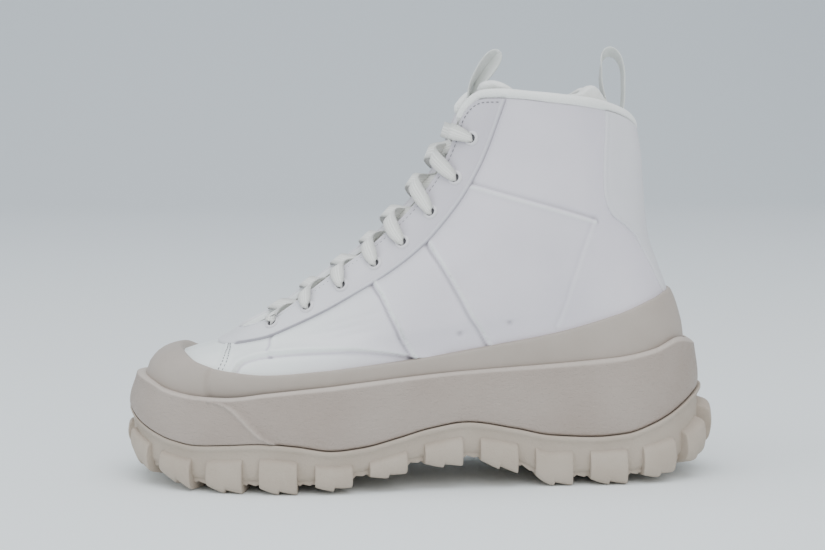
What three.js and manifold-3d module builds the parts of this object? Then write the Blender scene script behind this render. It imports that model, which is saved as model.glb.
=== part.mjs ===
// A left mid-top sneaker on a thick lugged platform sole, standing empty on the floor.
// Millimetres. +X points to the toe, +Y to the wearer's left, which is the outer side, and +Z up.
// The origin is on the floor, under the middle of the shoe's length and width.

import * as THREE from "three";
import { ParametricGeometry } from "three/addons/geometries/ParametricGeometry.js";
import { mergeVertices } from "three/addons/utils/BufferGeometryUtils.js";
import Module from "manifold-3d";

const wasm = await Module();
wasm.setup();

// The last: the outside of the upper, before anything is put round it
const LAST_LENGTH = 263;
const BALL_WIDTH = 88;
const SHAFT_HEIGHT = 137.3; // from the footbed to the front corner of the collar
const COLLAR_CROWN = 9.5; // how far the collar line arches over its own chord
const HEEL_BED = 48.5; // footbed over the floor
const TOE_BED = 40;
const TOE_SWING = 6; // how far the toe turns to the inner side

// Walls and clearances
const GAP = 0.3;
const UPPER_WALL = 2.4;
const FOXING_WALL = 3;
const FOXING_HEIGHT = 44.5; // over the footbed, at the heel
const BUMPER_BULGE = 0.9; // what the foxing gains round the toe
const OVERLAY = 1; // eyestay and heel tab
const INSOLE = 4.5;

// The midsole cup
const RIM_WALL = 3.6;
const RIM_WALL_TOE = 4;
const RIM_WALL_HEEL = 4.7;
const RIM_RISE = 20; // rim over the footbed, at the heel
const MIDSOLE_FLARE = 2.2; // foot of the midsole outside its rim
const TOE_FLARE = 1; // more of the same round the toe
const TOE_WRAP = 1.4; // the front wrap stands proud of the side

// The outsole
const OUTSOLE_HEIGHT = 46; // highest point of its upper edge, at the heel
const LEDGE = 1.6; // upper lip outside the foot of the midsole
const LEDGE_HEIGHT = 2.2;
const WALL_INSET = 1.8; // outsole wall inside its upper lip
const LUG_PROUD = 2.6; // lug faces outside the upper lip
const HEEL_LUG_FLARE = 4.4; // more of the same round the heel
const LUG_DEPTH = 5.5;
const LUG_RISE = 19;
const LUG_ROUND = 3.2; // slope at the top of a lug face
const LUG_REACH = 21; // from the face inwards
const LUG_SHARE = 0.68; // lug length over lug pitch
const LUG_NOTCH = 2;
const LUGS = 26;
const LUG_PHASE = -0.08; // the toe lug sits off the toe's tip by this share of the pitch
const CENTRE_LUGS = 8;
const CENTRE_LUG_LENGTH = 14;
const CENTRE_LUG_WIDTH = 24;

// Throat, lacing and trims
const THROAT_WIDTH = 40;
const THROAT_TOP_WIDTH = 30;
const COLLAR_CORNER = 9; // rounding of the collar's two front corners
const CORNER_SHARE = 0.14; // how much of the throat's height that rounding takes
const LACE_WIDTH = 8;
const LACE_THICKNESS = 1.4;
const LACE_FOLDED = 2.4; // its width inside an eyelet
const LACE_PUFF = 4; // how far the upper crossings stand up from the throat's edge
const EYELET_BORE = 4.6;
const EYELET_FLANGE = 7.4;
const EYELET_THICKNESS = 0.8;
const TONGUE_THICKNESS = 4;
const BINDING_DIAMETER = 4.8;
const BINDING_END = 0.958; // the level that the binding reaches down to beside the throat
const PAD_THICKNESS = 8;
const PAD_CREST = 8; // how far the padding stands over the collar beside the heel
const LOOP_WIDTH = 9;
const LOOP_THICKNESS = 1.4;
const TONGUE_LOOP_LENGTH = 27;
const HEEL_LOOP_HEIGHT = 33.3;
const HEEL_LOOP_SPREAD = 11;

// Mesh steps
const AROUND = 32;
const SOLE_AROUND = 40;

// Side view of the last. Each section from the footbed (level 0) to the collar (level 1) is a closed
// outline on a slanted plane from its back point to its front point. along is a share of LAST_LENGTH
// from the heel, and up is a share of SHAFT_HEIGHT over the footbed.
const PROFILE = [
  { level: 0.0, frontAlong: 0.991, frontUp: 0.0, backAlong: 0.01, backUp: 0.0 },
  { level: 0.1, frontAlong: 1.0, frontUp: 0.08, backAlong: 0.0, backUp: 0.084 },
  { level: 0.2, frontAlong: 0.984, frontUp: 0.133, backAlong: 0.003, backUp: 0.171 },
  { level: 0.3, frontAlong: 0.944, frontUp: 0.162, backAlong: 0.013, backUp: 0.253 },
  { level: 0.4, frontAlong: 0.885, frontUp: 0.189, backAlong: 0.027, backUp: 0.333 },
  { level: 0.5, frontAlong: 0.81, frontUp: 0.276, backAlong: 0.046, backUp: 0.429 },
  { level: 0.6, frontAlong: 0.721, frontUp: 0.4, backAlong: 0.063, backUp: 0.524 },
  { level: 0.7, frontAlong: 0.624, frontUp: 0.523, backAlong: 0.07, backUp: 0.62 },
  { level: 0.8, frontAlong: 0.535, frontUp: 0.667, backAlong: 0.074, backUp: 0.722 },
  { level: 0.9, frontAlong: 0.476, frontUp: 0.816, backAlong: 0.078, backUp: 0.817 },
  { level: 1.0, frontAlong: 0.44, frontUp: 1.0, backAlong: 0.086, backUp: 0.901 },
];

// Plan of the same sections. heel, waist and ball are half widths as shares of half BALL_WIDTH. back and
// front say where the two rounded ends stop and start, and foot how far the outline bends like a footprint.
const PLAN = [
  { level: 0.0, heel: 0.65, waist: 0.66, ball: 0.94, back: 0.125, front: 0.7, foot: 1 },
  { level: 0.1, heel: 0.71, waist: 0.725, ball: 1.0, back: 0.125, front: 0.7, foot: 1 },
  { level: 0.2, heel: 0.72, waist: 0.75, ball: 0.985, back: 0.13, front: 0.68, foot: 1 },
  { level: 0.3, heel: 0.72, waist: 0.775, ball: 0.95, back: 0.135, front: 0.65, foot: 0.95 },
  { level: 0.4, heel: 0.72, waist: 0.81, ball: 0.905, back: 0.15, front: 0.62, foot: 0.85 },
  { level: 0.5, heel: 0.725, waist: 0.82, ball: 0.85, back: 0.17, front: 0.58, foot: 0.65 },
  { level: 0.6, heel: 0.735, waist: 0.81, ball: 0.8, back: 0.2, front: 0.53, foot: 0.45 },
  { level: 0.7, heel: 0.72, waist: 0.8, ball: 0.755, back: 0.25, front: 0.48, foot: 0.3 },
  { level: 0.8, heel: 0.685, waist: 0.795, ball: 0.74, back: 0.3, front: 0.46, foot: 0.15 },
  { level: 0.9, heel: 0.66, waist: 0.785, ball: 0.74, back: 0.36, front: 0.47, foot: 0.05 },
  { level: 1.0, heel: 0.64, waist: 0.795, ball: 0.755, back: 0.42, front: 0.5, foot: 0 },
];

// Upper edge of the outsole and underside of its lugs, as shares of OUTSOLE_HEIGHT. reach runs from the
// heel to the toe.
const OUTSOLE_LINES = [
  { reach: 0.0, edge: 0.98, foot: 0.44 },
  { reach: 0.015, edge: 0.99, foot: 0.31 },
  { reach: 0.03, edge: 0.965, foot: 0.23 },
  { reach: 0.05, edge: 0.905, foot: 0.17 },
  { reach: 0.075, edge: 0.81, foot: 0.125 },
  { reach: 0.1, edge: 0.72, foot: 0.085 },
  { reach: 0.13, edge: 0.635, foot: 0.045 },
  { reach: 0.175, edge: 0.543, foot: 0.005 },
  { reach: 0.225, edge: 0.517, foot: 0 },
  { reach: 0.3, edge: 0.543, foot: 0 },
  { reach: 0.36, edge: 0.622, foot: 0.15 },
  { reach: 0.44, edge: 0.702, foot: 0.24 },
  { reach: 0.5, edge: 0.648, foot: 0.22 },
  { reach: 0.555, edge: 0.556, foot: 0.16 },
  { reach: 0.61, edge: 0.475, foot: 0.09 },
  { reach: 0.66, edge: 0.448, foot: 0.03 },
  { reach: 0.72, edge: 0.5, foot: 0 },
  { reach: 0.777, edge: 0.528, foot: 0 },
  { reach: 0.83, edge: 0.508, foot: 0 },
  { reach: 0.88, edge: 0.49, foot: 0.005 },
  { reach: 0.92, edge: 0.528, foot: 0.085 },
  { reach: 0.95, edge: 0.597, foot: 0.13 },
  { reach: 0.975, edge: 0.69, foot: 0.2 },
  { reach: 0.99, edge: 0.79, foot: 0.28 },
  { reach: 1.0, edge: 0.84, foot: 0.37 },
];

// Rim of the midsole as shares of RIM_RISE, and top of the foxing as shares of FOXING_HEIGHT, both over
// the footbed
const RIM_LINES = [
  { reach: 0.04, rim: 0.88, foxing: 1.0 },
  { reach: 0.08, rim: 1.07, foxing: 1.0 },
  { reach: 0.125, rim: 0.87, foxing: 0.93 },
  { reach: 0.19, rim: 0.72, foxing: 0.79 },
  { reach: 0.29, rim: 0.645, foxing: 0.63 },
  { reach: 0.4, rim: 0.595, foxing: 0.525 },
  { reach: 0.5, rim: 0.54, foxing: 0.44 },
  { reach: 0.68, rim: 0.38, foxing: 0.345 },
  { reach: 0.76, rim: 0.29, foxing: 0.32 },
  { reach: 0.83, rim: 0.19, foxing: 0.36 },
  { reach: 0.875, rim: 0.22, foxing: 0.425 },
  { reach: 0.905, rim: 0.285, foxing: 0.5 },
  { reach: 0.93, rim: 0.375, foxing: 0.52 },
  { reach: 0.95, rim: 0.52, foxing: 0.52 },
  { reach: 0.985, rim: 0.7, foxing: 0.52 },
];

// Seam of the eyestay: how far back it lies from the front point, as a share of each section
const EYESTAY_SEAM = [
  { level: 0.4, share: 0.03 },
  { level: 0.416, share: 0.062 },
  { level: 0.43, share: 0.088 },
  { level: 0.457, share: 0.112 },
  { level: 0.5, share: 0.15 },
  { level: 0.55, share: 0.187 },
  { level: 0.6, share: 0.226 },
  { level: 0.65, share: 0.248 },
  { level: 0.7, share: 0.256 },
  { level: 0.8, share: 0.252 },
  { level: 0.9, share: 0.246 },
  { level: 1.0, share: 0.262 },
];

// Half width of the heel tab, as a share of the way from the heel to the toe round each section
const HEEL_TAB = [
  { level: 0.38, share: 0.082 },
  { level: 0.5, share: 0.107 },
  { level: 0.6, share: 0.143 },
  { level: 0.66, share: 0.2 },
  { level: 0.7, share: 0.25 },
  { level: 0.78, share: 0.292 },
  { level: 0.9, share: 0.31 },
  { level: 1.0, share: 0.308 },
];

// Edge of the front wrap on the midsole: reach along the sole, height as a share of the way from its foot
// to its rim
const WRAP_EDGE = [
  { reach: 0.7, height: -0.6 },
  { reach: 0.747, height: -0.05 },
  { reach: 0.767, height: 0.2 },
  { reach: 0.79, height: 0.5 },
  { reach: 0.815, height: 0.8 },
  { reach: 0.85, height: 1.1 },
];

// Rows of eyelets: level, and distance from the middle line as a share of half BALL_WIDTH
const LACE_ROWS = [
  { level: 0.482, off: 0.511 },
  { level: 0.529, off: 0.595 },
  { level: 0.583, off: 0.616 },
  { level: 0.638, off: 0.618 },
  { level: 0.691, off: 0.6 },
  { level: 0.759, off: 0.568 },
  { level: 0.834, off: 0.55 },
  { level: 0.921, off: 0.525 },
];

const WIDEST = 0.1; // the level that the sole is drawn round
const THROAT_START = 0.462;
// The levels of the grid that the upper and the pieces on it share
const LEVELS = [0, 0.07, 0.15, 0.24, 0.33, 0.42, 0.54, 0.67, 0.79, 0.9, 1];

const clamp = (v, low, high) => Math.min(high, Math.max(low, v));
const mix = (a, b, t) => a + (b - a) * t;
const ease = (t) => clamp(t, 0, 1) ** 2 * (3 - 2 * clamp(t, 0, 1));

// A smooth curve through one column of a table, straight beyond its ends. It has no hump that the table
// lacks.
function curve(rows, key, column) {
  const x = rows.map((row) => row[key]);
  const y = rows.map((row) => row[column]);
  const last = x.length - 1;
  const step = (i) => (y[i + 1] - y[i]) / (x[i + 1] - x[i]);
  const slope = x.map((_, i) => {
    if (i === 0) return step(0);
    if (i === last) return step(last - 1);
    const [a, b] = [step(i - 1), step(i)];
    return a * b <= 0 ? 0 : (2 * a * b) / (a + b);
  });
  return (at) => {
    if (at <= x[0]) return y[0] + slope[0] * (at - x[0]);
    if (at >= x[last]) return y[last] + slope[last] * (at - x[last]);
    const i = x.findLastIndex((v) => v <= at);
    const h = x[i + 1] - x[i];
    const t = (at - x[i]) / h;
    return (
      y[i] * (1 + 2 * t) * (1 - t) ** 2 +
      slope[i] * h * t * (1 - t) ** 2 +
      y[i + 1] * t * t * (3 - 2 * t) +
      slope[i + 1] * h * t * t * (t - 1)
    );
  };
}

const section = {};
for (const rows of [PROFILE, PLAN])
  for (const column of Object.keys(rows[0])) section[column] = curve(rows, "level", column);
const edgeLine = curve(OUTSOLE_LINES, "reach", "edge");
const footLine = curve(OUTSOLE_LINES, "reach", "foot");
const rimLine = curve(RIM_LINES, "reach", "rim");
const foxingLine = curve(RIM_LINES, "reach", "foxing");
const eyestaySeam = curve(EYESTAY_SEAM, "level", "share");
const heelTabEdge = curve(HEEL_TAB, "level", "share");
const eyeletOff = curve(LACE_ROWS, "level", "off");

// Margins in plan, outwards from the widest section of the upper, at the heel, the sides and the toe
const cupMargin = FOXING_WALL + 2 * GAP;
const rimMargin = {
  heel: cupMargin + RIM_WALL_HEEL,
  side: cupMargin + RIM_WALL,
  toe: cupMargin + BUMPER_BULGE + RIM_WALL_TOE,
};
const outwards = (margin, by, heel = 0, toe = 0) => ({
  heel: margin.heel + by + heel,
  side: margin.side + by,
  toe: margin.toe + by + toe,
});
const midsoleMargin = outwards(rimMargin, MIDSOLE_FLARE, 0, TOE_FLARE);
const ledgeMargin = outwards(midsoleMargin, LEDGE);
const wallMargin = outwards(ledgeMargin, -WALL_INSET);
const lugMargin = outwards(ledgeMargin, LUG_PROUD, HEEL_LUG_FLARE);

const SHOE_LENGTH = LAST_LENGTH + lugMargin.heel + lugMargin.toe;
const xAt = (along) => along * LAST_LENGTH + lugMargin.heel - SHOE_LENGTH / 2;
const reachAt = (x) => clamp(x / SHOE_LENGTH + 0.5, 0, 1);
const bedAt = (x) => mix(HEEL_BED, TOE_BED, (x - xAt(0)) / LAST_LENGTH);
const edgeAt = (x) => edgeLine(reachAt(x)) * OUTSOLE_HEIGHT;
const footAt = (x) => Math.max(0, footLine(reachAt(x))) * OUTSOLE_HEIGHT;
const rimAt = (x) => bedAt(x) + rimLine(reachAt(x)) * RIM_RISE;
const foxingTopAt = (x) => bedAt(x) + foxingLine(reachAt(x)) * FOXING_HEIGHT;

// Half width of a section on one side (1 outer, -1 inner) at a share of the way from its back to its front
function halfWidth(share, level, side) {
  const foot = section.foot(level);
  const ballAt = 0.715 - 0.035 * side * foot;
  const waist = section.waist(level) * (1 + 0.06 * side * foot);
  const rows = [
    { at: 0.12, width: section.heel(level) },
    { at: 0.43, width: waist },
    { at: ballAt, width: section.ball(level) },
  ];
  const width = curve(rows, "at", "width")(clamp(share, 0.12, ballAt));
  const back = clamp(1 - share / section.back(level), 0, 1);
  const front = clamp((share - section.front(level)) / (1 - section.front(level)), 0, 1);
  const blunt = 2 + 0.35 * foot;
  return width * BALL_WIDTH * 0.5 * Math.sqrt(1 - back ** 2) * (1 - front ** blunt) ** (1 / blunt);
}

// A point on the last. around runs from -1 (toe) along the inner side to 0 (heel) and along the outer side
// to 1 (toe).
function lastPoint(around, level) {
  const side = around < 0 ? -1 : 1;
  const share = (1 - Math.cos(Math.PI * Math.abs(around))) / 2;
  const frontX = xAt(section.frontAlong(level));
  const backX = xAt(section.backAlong(level));
  const frontZ = bedAt(frontX) + section.frontUp(level) * SHAFT_HEIGHT;
  const backZ = bedAt(backX) + section.backUp(level) * SHAFT_HEIGHT;
  const crown = COLLAR_CROWN * ease((level - 0.55) / 0.45) * (1 - Math.abs(2 * share - 1) ** 4) ** 0.7;
  const swing = -TOE_SWING * section.foot(level) * clamp((share - 0.5) / 0.5, 0, 1) ** 2;
  return new THREE.Vector3(
    mix(backX, frontX, share),
    swing + side * halfWidth(share, level, side),
    mix(backZ, frontZ, share) + crown,
  );
}

// The outward direction of the last's surface, from two short steps along it
function lastNormal(around, level) {
  const step = 0.004;
  const turn = (a) => (a > 1 ? a - 2 : a < -1 ? a + 2 : a);
  const along = lastPoint(turn(around + step), level).sub(lastPoint(turn(around - step), level));
  const up = lastPoint(around, level + step).sub(lastPoint(around, level - step));
  return along.cross(up).normalize().negate();
}

// The last's surface moved outwards by a margin
const skin = (around, level, margin) =>
  lastPoint(around, level).addScaledVector(lastNormal(around, level), margin);

// The level at which the last rises through a line, given as a height over the floor for each x
function levelAt(around, heightAt) {
  let [low, high] = [0, 1];
  for (let i = 0; i < 30; i++) {
    const middle = (low + high) / 2;
    const p = lastPoint(around, middle);
    if (p.z < heightAt(p.x)) low = middle;
    else high = middle;
  }
  return low;
}

// A point of the sole's outline: the widest section moved out in plan. What the margin is more at the heel
// or the toe comes in as the outline turns to face back or forwards.
function solePoint(around, margin) {
  const normal = lastNormal(around, WIDEST);
  const flat = new THREE.Vector3(normal.x, normal.y, 0).normalize();
  const end = flat.x < 0 ? margin.heel : margin.toe;
  const by = margin.side + (end - margin.side) * flat.x ** 2;
  return lastPoint(around, WIDEST).addScaledVector(flat, by);
}

// Rings of points to a closed solid. The first and the last ring shut its ends, so they are drawn together
// on a line or a point.
function solid(rings) {
  const count = rings[0].length;
  const place = (u, v, target) =>
    target.copy(rings[Math.round(v * (rings.length - 1))][Math.round(u * count) % count]);
  return manifold(new ParametricGeometry(place, count, rings.length - 1));
}

// Any closed three.js geometry to a manifold solid, with its faces turned out
function manifold(geometry) {
  const bare = new THREE.BufferGeometry().setAttribute("position", geometry.getAttribute("position"));
  if (geometry.index) bare.setIndex(geometry.index);
  const merged = mergeVertices(bare, 1e-3);
  const corners = [];
  for (let i = 0; i < merged.index.count; i += 3) {
    const [a, b, c] = [0, 1, 2].map((k) => merged.index.getX(i + k));
    if (a !== b && b !== c && c !== a) corners.push([a, b, c]);
  }
  const build = (triangles) =>
    new wasm.Manifold(
      new wasm.Mesh({
        numProp: 3,
        vertProperties: new Float32Array(merged.attributes.position.array),
        triVerts: new Uint32Array(triangles.flat()),
      }),
    );
  const made = build(corners);
  return made.volume() < 0 ? build(corners.map(([a, b, c]) => [a, c, b])) : made;
}

const loopOf = (count, place) => Array.from({ length: count }, (_, i) => place(i));
const aroundAt = (i, count) => (2 * i) / count - 1;

// A ring of the sole, and the same ring drawn together on the sole's middle line to shut a top or a bottom
const soleRing = (margin, heightAt) =>
  loopOf(SOLE_AROUND, (i) => {
    const p = solePoint(aroundAt(i, SOLE_AROUND), margin);
    return p.setZ(heightAt(p.x));
  });
function shut(ring, heightAt) {
  const n = ring.length;
  return ring.map((p, i) => {
    const middle = p.clone().add(ring[(n - i) % n]).multiplyScalar(0.5);
    return heightAt ? middle.setZ(heightAt(middle.x)) : middle;
  });
}

// The middle of a ring, once for each of its points, to shut the end of a solid
function tip(ring) {
  const middle = ring.reduce((sum, p) => sum.add(p), new THREE.Vector3()).divideScalar(ring.length);
  return ring.map(() => middle.clone());
}

// The last as a solid on the shared grid, moved out by a margin. It runs past both ends of the upper.
function form(margin) {
  const rings = [-0.08, ...LEVELS, 1.08].map((level) =>
    loopOf(AROUND, (i) => skin(aroundAt(i, AROUND), level, margin)),
  );
  return solid([shut(rings[0]), ...rings, shut(rings.at(-1))]);
}

const bulge = (around) => BUMPER_BULGE * ease((Math.abs(around) - 0.72) / 0.16);

function outsole() {
  const treadAt = (x) => Math.min(footAt(x) + LUG_DEPTH, edgeAt(x) - LEDGE_HEIGHT - LUG_DEPTH);
  const underLip = (x) => edgeAt(x) - LEDGE_HEIGHT;
  const rings = [
    soleRing(outwards(wallMargin, -LUG_ROUND), treadAt),
    soleRing(wallMargin, (x) => treadAt(x) + LUG_ROUND),
    soleRing(wallMargin, (x) => underLip(x) - WALL_INSET / 2),
    soleRing(ledgeMargin, underLip),
    soleRing(ledgeMargin, edgeAt),
    soleRing(midsoleMargin, edgeAt),
  ];
  const body = solid([shut(rings[0], treadAt), ...rings, shut(rings.at(-1), edgeAt)]);
  return [...sideLugs(), ...centreLugs()].reduce((whole, lug) => whole.add(lug), body);
}

// The way round for a share of the outline's own length at the lug faces, from the toe's tip back to it.
function outlineWalk() {
  const steps = 400;
  const points = loopOf(steps + 1, (i) => solePoint(aroundAt(i, steps), lugMargin));
  const lengths = [0];
  for (let i = 1; i <= steps; i++) lengths.push(lengths[i - 1] + points[i].distanceTo(points[i - 1]));
  const rows = lengths.map((length, i) => ({ walk: length / lengths[steps], around: aroundAt(i, steps) }));
  return curve(rows, "walk", "around");
}

// Lugs round the whole edge, each a little way along the outline, with a sawtooth notch across its foot
function sideLugs() {
  const stations = [
    { at: -0.5, lift: 0 },
    { at: -0.1, lift: 0 },
    { at: 0, lift: 1 },
    { at: 0.5, lift: 0 },
  ];
  const walk = outlineWalk();
  return loopOf(LUGS, (k) => {
    const rings = stations.map(({ at, lift }) => {
      const place = (k + at * LUG_SHARE - LUG_PHASE) / LUGS;
      return lugSection(walk(place - Math.floor(place)), lift * LUG_NOTCH);
    });
    return solid([tip(rings[0]), ...rings, tip(rings.at(-1))]);
  });
}

function lugSection(around, lift) {
  const face = solePoint(around, lugMargin);
  const foot = footAt(face.x);
  const topAt = (x) => Math.min(foot + LUG_RISE, edgeAt(x) - 1.5 * LEDGE_HEIGHT - WALL_INSET);
  const inner = solePoint(around, outwards(lugMargin, -LUG_REACH));
  const shoulder = solePoint(around, outwards(wallMargin, -LUG_PROUD));
  const brow = solePoint(around, outwards(lugMargin, -1));
  const top = topAt(face.x);
  return [
    shoulder.setZ(topAt(shoulder.x)),
    brow.setZ(topAt(brow.x) - LUG_ROUND),
    face.clone().setZ(mix(foot, top, 0.4)),
    solePoint(around, outwards(lugMargin, -1.5)).setZ(foot + lift),
    inner.clone().setZ(footAt(inner.x) + lift),
    inner.clone().setZ(footAt(inner.x) + LUG_DEPTH + LUG_ROUND),
  ];
}

// Short cross lugs down the middle of the tread, bent to an arrow
function centreLugs() {
  const pitch = (SHOE_LENGTH - 2 * LUG_REACH) / (CENTRE_LUGS + 1);
  return loopOf(CENTRE_LUGS, (k) => {
    const middle = -SHOE_LENGTH / 2 + LUG_REACH + (k + 1) * pitch;
    const ring = (y) =>
      [-0.5, 0.5].flatMap((end) => {
        const x = middle + end * CENTRE_LUG_LENGTH + Math.abs(y) * 0.25;
        const low = new THREE.Vector3(x, y, footAt(x) + LUG_NOTCH / 2);
        const high = new THREE.Vector3(x, y, footAt(x) + LUG_DEPTH + LUG_NOTCH);
        return end < 0 ? [high, low] : [low, high];
      });
    const rings = [-0.5, 0, 0.5].map((share) => ring(share * CENTRE_LUG_WIDTH));
    return solid([tip(rings[0]), ...rings, tip(rings[2])]);
  });
}

// The foxing's outer shape, from the footbed up to its top edge, as a solid. grow moves it out, and drop
// lowers its foot.
function foxingForm(grow, drop) {
  const column = loopOf(SOLE_AROUND, (i) => {
    const around = aroundAt(i, SOLE_AROUND);
    const top = levelAt(around, foxingTopAt);
    const wall = GAP + FOXING_WALL + bulge(around) + grow;
    const side = [0, 0.35, 0.68, 0.9].map((t) => skin(around, top * t, wall));
    const lip = skin(around, top, GAP + FOXING_WALL * 0.45 + bulge(around) * 0.5 + grow);
    side[0].setZ(bedAt(side[0].x) - drop);
    return [...side, lip, skin(around, 0.9 * top, -2 * FOXING_WALL)];
  });
  const rings = column[0].map((_, j) => column.map((points) => points[j]));
  return solid([shut(rings[0], (x) => bedAt(x) - drop), ...rings, shut(rings.at(-1))]);
}

const foxing = () => foxingForm(0, 0).subtract(form(GAP));

function midsole() {
  const foot = (x) => edgeAt(x) + GAP;
  const block = (extra) => {
    const between = (t) => (x) => mix(foot(x), rimAt(x), t);
    const rings = [
      soleRing(midsoleMargin, foot),
      soleRing(outwards(midsoleMargin, extra), (x) => foot(x) + (extra ? GAP : 0)),
      soleRing(outwards(midsoleMargin, extra - 0.2), between(0.35)),
      soleRing(outwards(rimMargin, extra * 0.6), between(0.9)),
      soleRing(outwards(rimMargin, -0.8), rimAt),
    ];
    return solid([shut(rings[0], foot), ...rings.slice(extra ? 0 : 1), shut(rings.at(-1))]);
  };
  const edge = WRAP_EDGE.map(({ reach, height }) => {
    const x = (reach - 0.5) * SHOE_LENGTH;
    return new THREE.Vector2(x, mix(foot(x), rimAt(x), height));
  });
  const ahead = [HEEL_BED * 3, -HEEL_BED].map((z) => new THREE.Vector2(SHOE_LENGTH, z));
  const slab = new THREE.ExtrudeGeometry(new THREE.Shape([...edge, ...ahead]), {
    depth: 3 * BALL_WIDTH,
    bevelEnabled: false,
  })
    .rotateX(Math.PI / 2)
    .translate(0, 1.5 * BALL_WIDTH, 0);
  return block(0).add(block(TOE_WRAP).intersect(manifold(slab))).subtract(foxingForm(GAP, GAP));
}

// Half the gap between the two rows of eyelets
const throatSide = (t) => mix(THROAT_WIDTH, THROAT_TOP_WIDTH, clamp(t, 0, 1)) / 2;

// The same with a round end at its foot and a round corner at the collar
function throatHalf(level) {
  const t = (level - THROAT_START) / (1 - THROAT_START);
  const foot = Math.sqrt(1 - clamp(1 - t / 0.11, 0, 1) ** 2);
  const corner = COLLAR_CORNER * (1 - Math.sqrt(1 - clamp(1 - (1 - t) / CORNER_SHARE, 0, 1) ** 2));
  return throatSide(t) * foot + corner;
}

// The same gap as a solid to cut with. widen moves both its sides out.
function throat(widen) {
  const rises = [0, 0.006, 0.02, 0.05, 0.1, 0.2, 0.3, 0.4, 0.46, 0.49, 0.51, 0.525, 0.534, 0.538, 0.6];
  const rings = rises.map((rise) => {
    const level = THROAT_START + rise;
    const crest = lastPoint(1, level);
    const normal = lastNormal(1, level).setY(0).normalize();
    const half = rise ? throatHalf(level) + widen : 0.01;
    return [-20, 14].flatMap((depth) => {
      const p = crest.clone().addScaledVector(normal, depth);
      const sides = [p.clone().setY(crest.y - half), p.clone().setY(crest.y + half)];
      return depth < 0 ? sides : sides.reverse();
    });
  });
  return solid([tip(rings[0]), ...rings, tip(rings.at(-1))]);
}

// Where a section comes to a distance from the middle line, on its front half
function aroundAtHalf(level, half, side) {
  let [low, high] = [0.5, 1];
  for (let i = 0; i < 30; i++) {
    const middle = (low + high) / 2;
    if (Math.abs(lastPoint(side * middle, level).y - lastPoint(1, level).y) > half) low = middle;
    else high = middle;
  }
  return side * low;
}

const eyeletHalf = (level) => (eyeletOff(level) * BALL_WIDTH) / 2;

// Between the throat's edges the foot is flatter than the last. This is how far under the last a thing that
// lies across the throat comes.
function throatHollow(around, level) {
  const half = throatSide((level - THROAT_START) / (1 - THROAT_START));
  const edge = lastPoint(aroundAtHalf(level, half, 1), level);
  const out = lastNormal(1, level);
  const from = lastPoint(around, level).sub(edge).setY(0);
  return Math.max(0, from.dot(out.setY(0).normalize())) * ease((level - 0.42) / 0.06);
}

// The middle of each eyelet: its place on the last, outward direction and row
const eyelets = [1, -1].flatMap((side) =>
  LACE_ROWS.map(({ level }, row) => {
    const around = aroundAtHalf(level, eyeletHalf(level), side);
    return { side, row, level, around, normal: lastNormal(around, level) };
  }),
);
const eyeletPins = (radius) =>
  eyelets.map(({ around, level, normal }) =>
    manifold(
      new THREE.CylinderGeometry(radius, radius, 16, 6)
        .applyQuaternion(new THREE.Quaternion().setFromUnitVectors(new THREE.Vector3(0, 1, 0), normal))
        .translate(...lastPoint(around, level).toArray()),
    ),
  );

function upper() {
  const rings = LEVELS.map((level) => loopOf(AROUND, (i) => skin(aroundAt(i, AROUND), level, 0)));
  const within = loopOf(AROUND, (i) => skin(aroundAt(i, AROUND), 1, -2 * UPPER_WALL));
  const outer = solid([shut(rings[0]), ...rings, within, shut(within)]);
  const shell = outer.subtract(form(-UPPER_WALL)).subtract(throat(0));
  return eyeletPins(EYELET_BORE / 2 + GAP).reduce((whole, pin) => whole.subtract(pin), shell);
}

// A panel on the last between two margins. place(k, level) gives the way round for k from -1 to 1 across
// it, and lift raises a point.
function panel(place, across, levels, inner, outer, lift = () => 0) {
  const rings = levels.map((level) => {
    const ks = loopOf(across + 1, (i) => (2 * i) / across - 1);
    const face = (margin) =>
      ks.map((k) => {
        const p = skin(place(k, level), level, margin(k, level));
        return p.setZ(p.z + lift(k, level));
      });
    return [...face(outer), ...face(inner).reverse()];
  });
  // The two ends are shut between the panel's own faces
  const flat = (ring) =>
    ring.map((p, i) => p.clone().add(ring[ring.length - 1 - i]).multiplyScalar(0.5));
  return solid([flat(rings[0]), ...rings, flat(rings.at(-1))]);
}

// From the seam on one side over the front of the shoe to the seam on the other
const overFront = (reach) => (k, level) => {
  const around = 1 - Math.abs(k) * reach(level);
  return k < 0 ? -around : around;
};
const shareToAround = (share) => Math.acos(1 - 2 * clamp(1 - share, 0, 1)) / Math.PI;

function eyestay() {
  const levels = [0.406, 0.414, 0.43, 0.46, 0.52, 0.6, 0.7, 0.8, 0.9, 0.998];
  const reach = (level) => 1 - shareToAround(eyestaySeam(level));
  const sheet = panel(overFront(reach), 10, levels, () => -GAP, () => GAP + OVERLAY);
  const cut = sheet.subtract(form(GAP)).subtract(throat(GAP));
  return eyeletPins(EYELET_BORE / 2 + GAP).reduce((whole, pin) => whole.subtract(pin), cut);
}

function heelTab() {
  const start = levelAt(0, foxingTopAt) + 0.025;
  const levels = loopOf(8, (i) => mix(start, 0.998, i / 7));
  const place = (k, level) => k * heelTabEdge(level);
  return panel(place, 8, levels, () => -GAP, () => GAP + OVERLAY).subtract(form(GAP));
}

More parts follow.
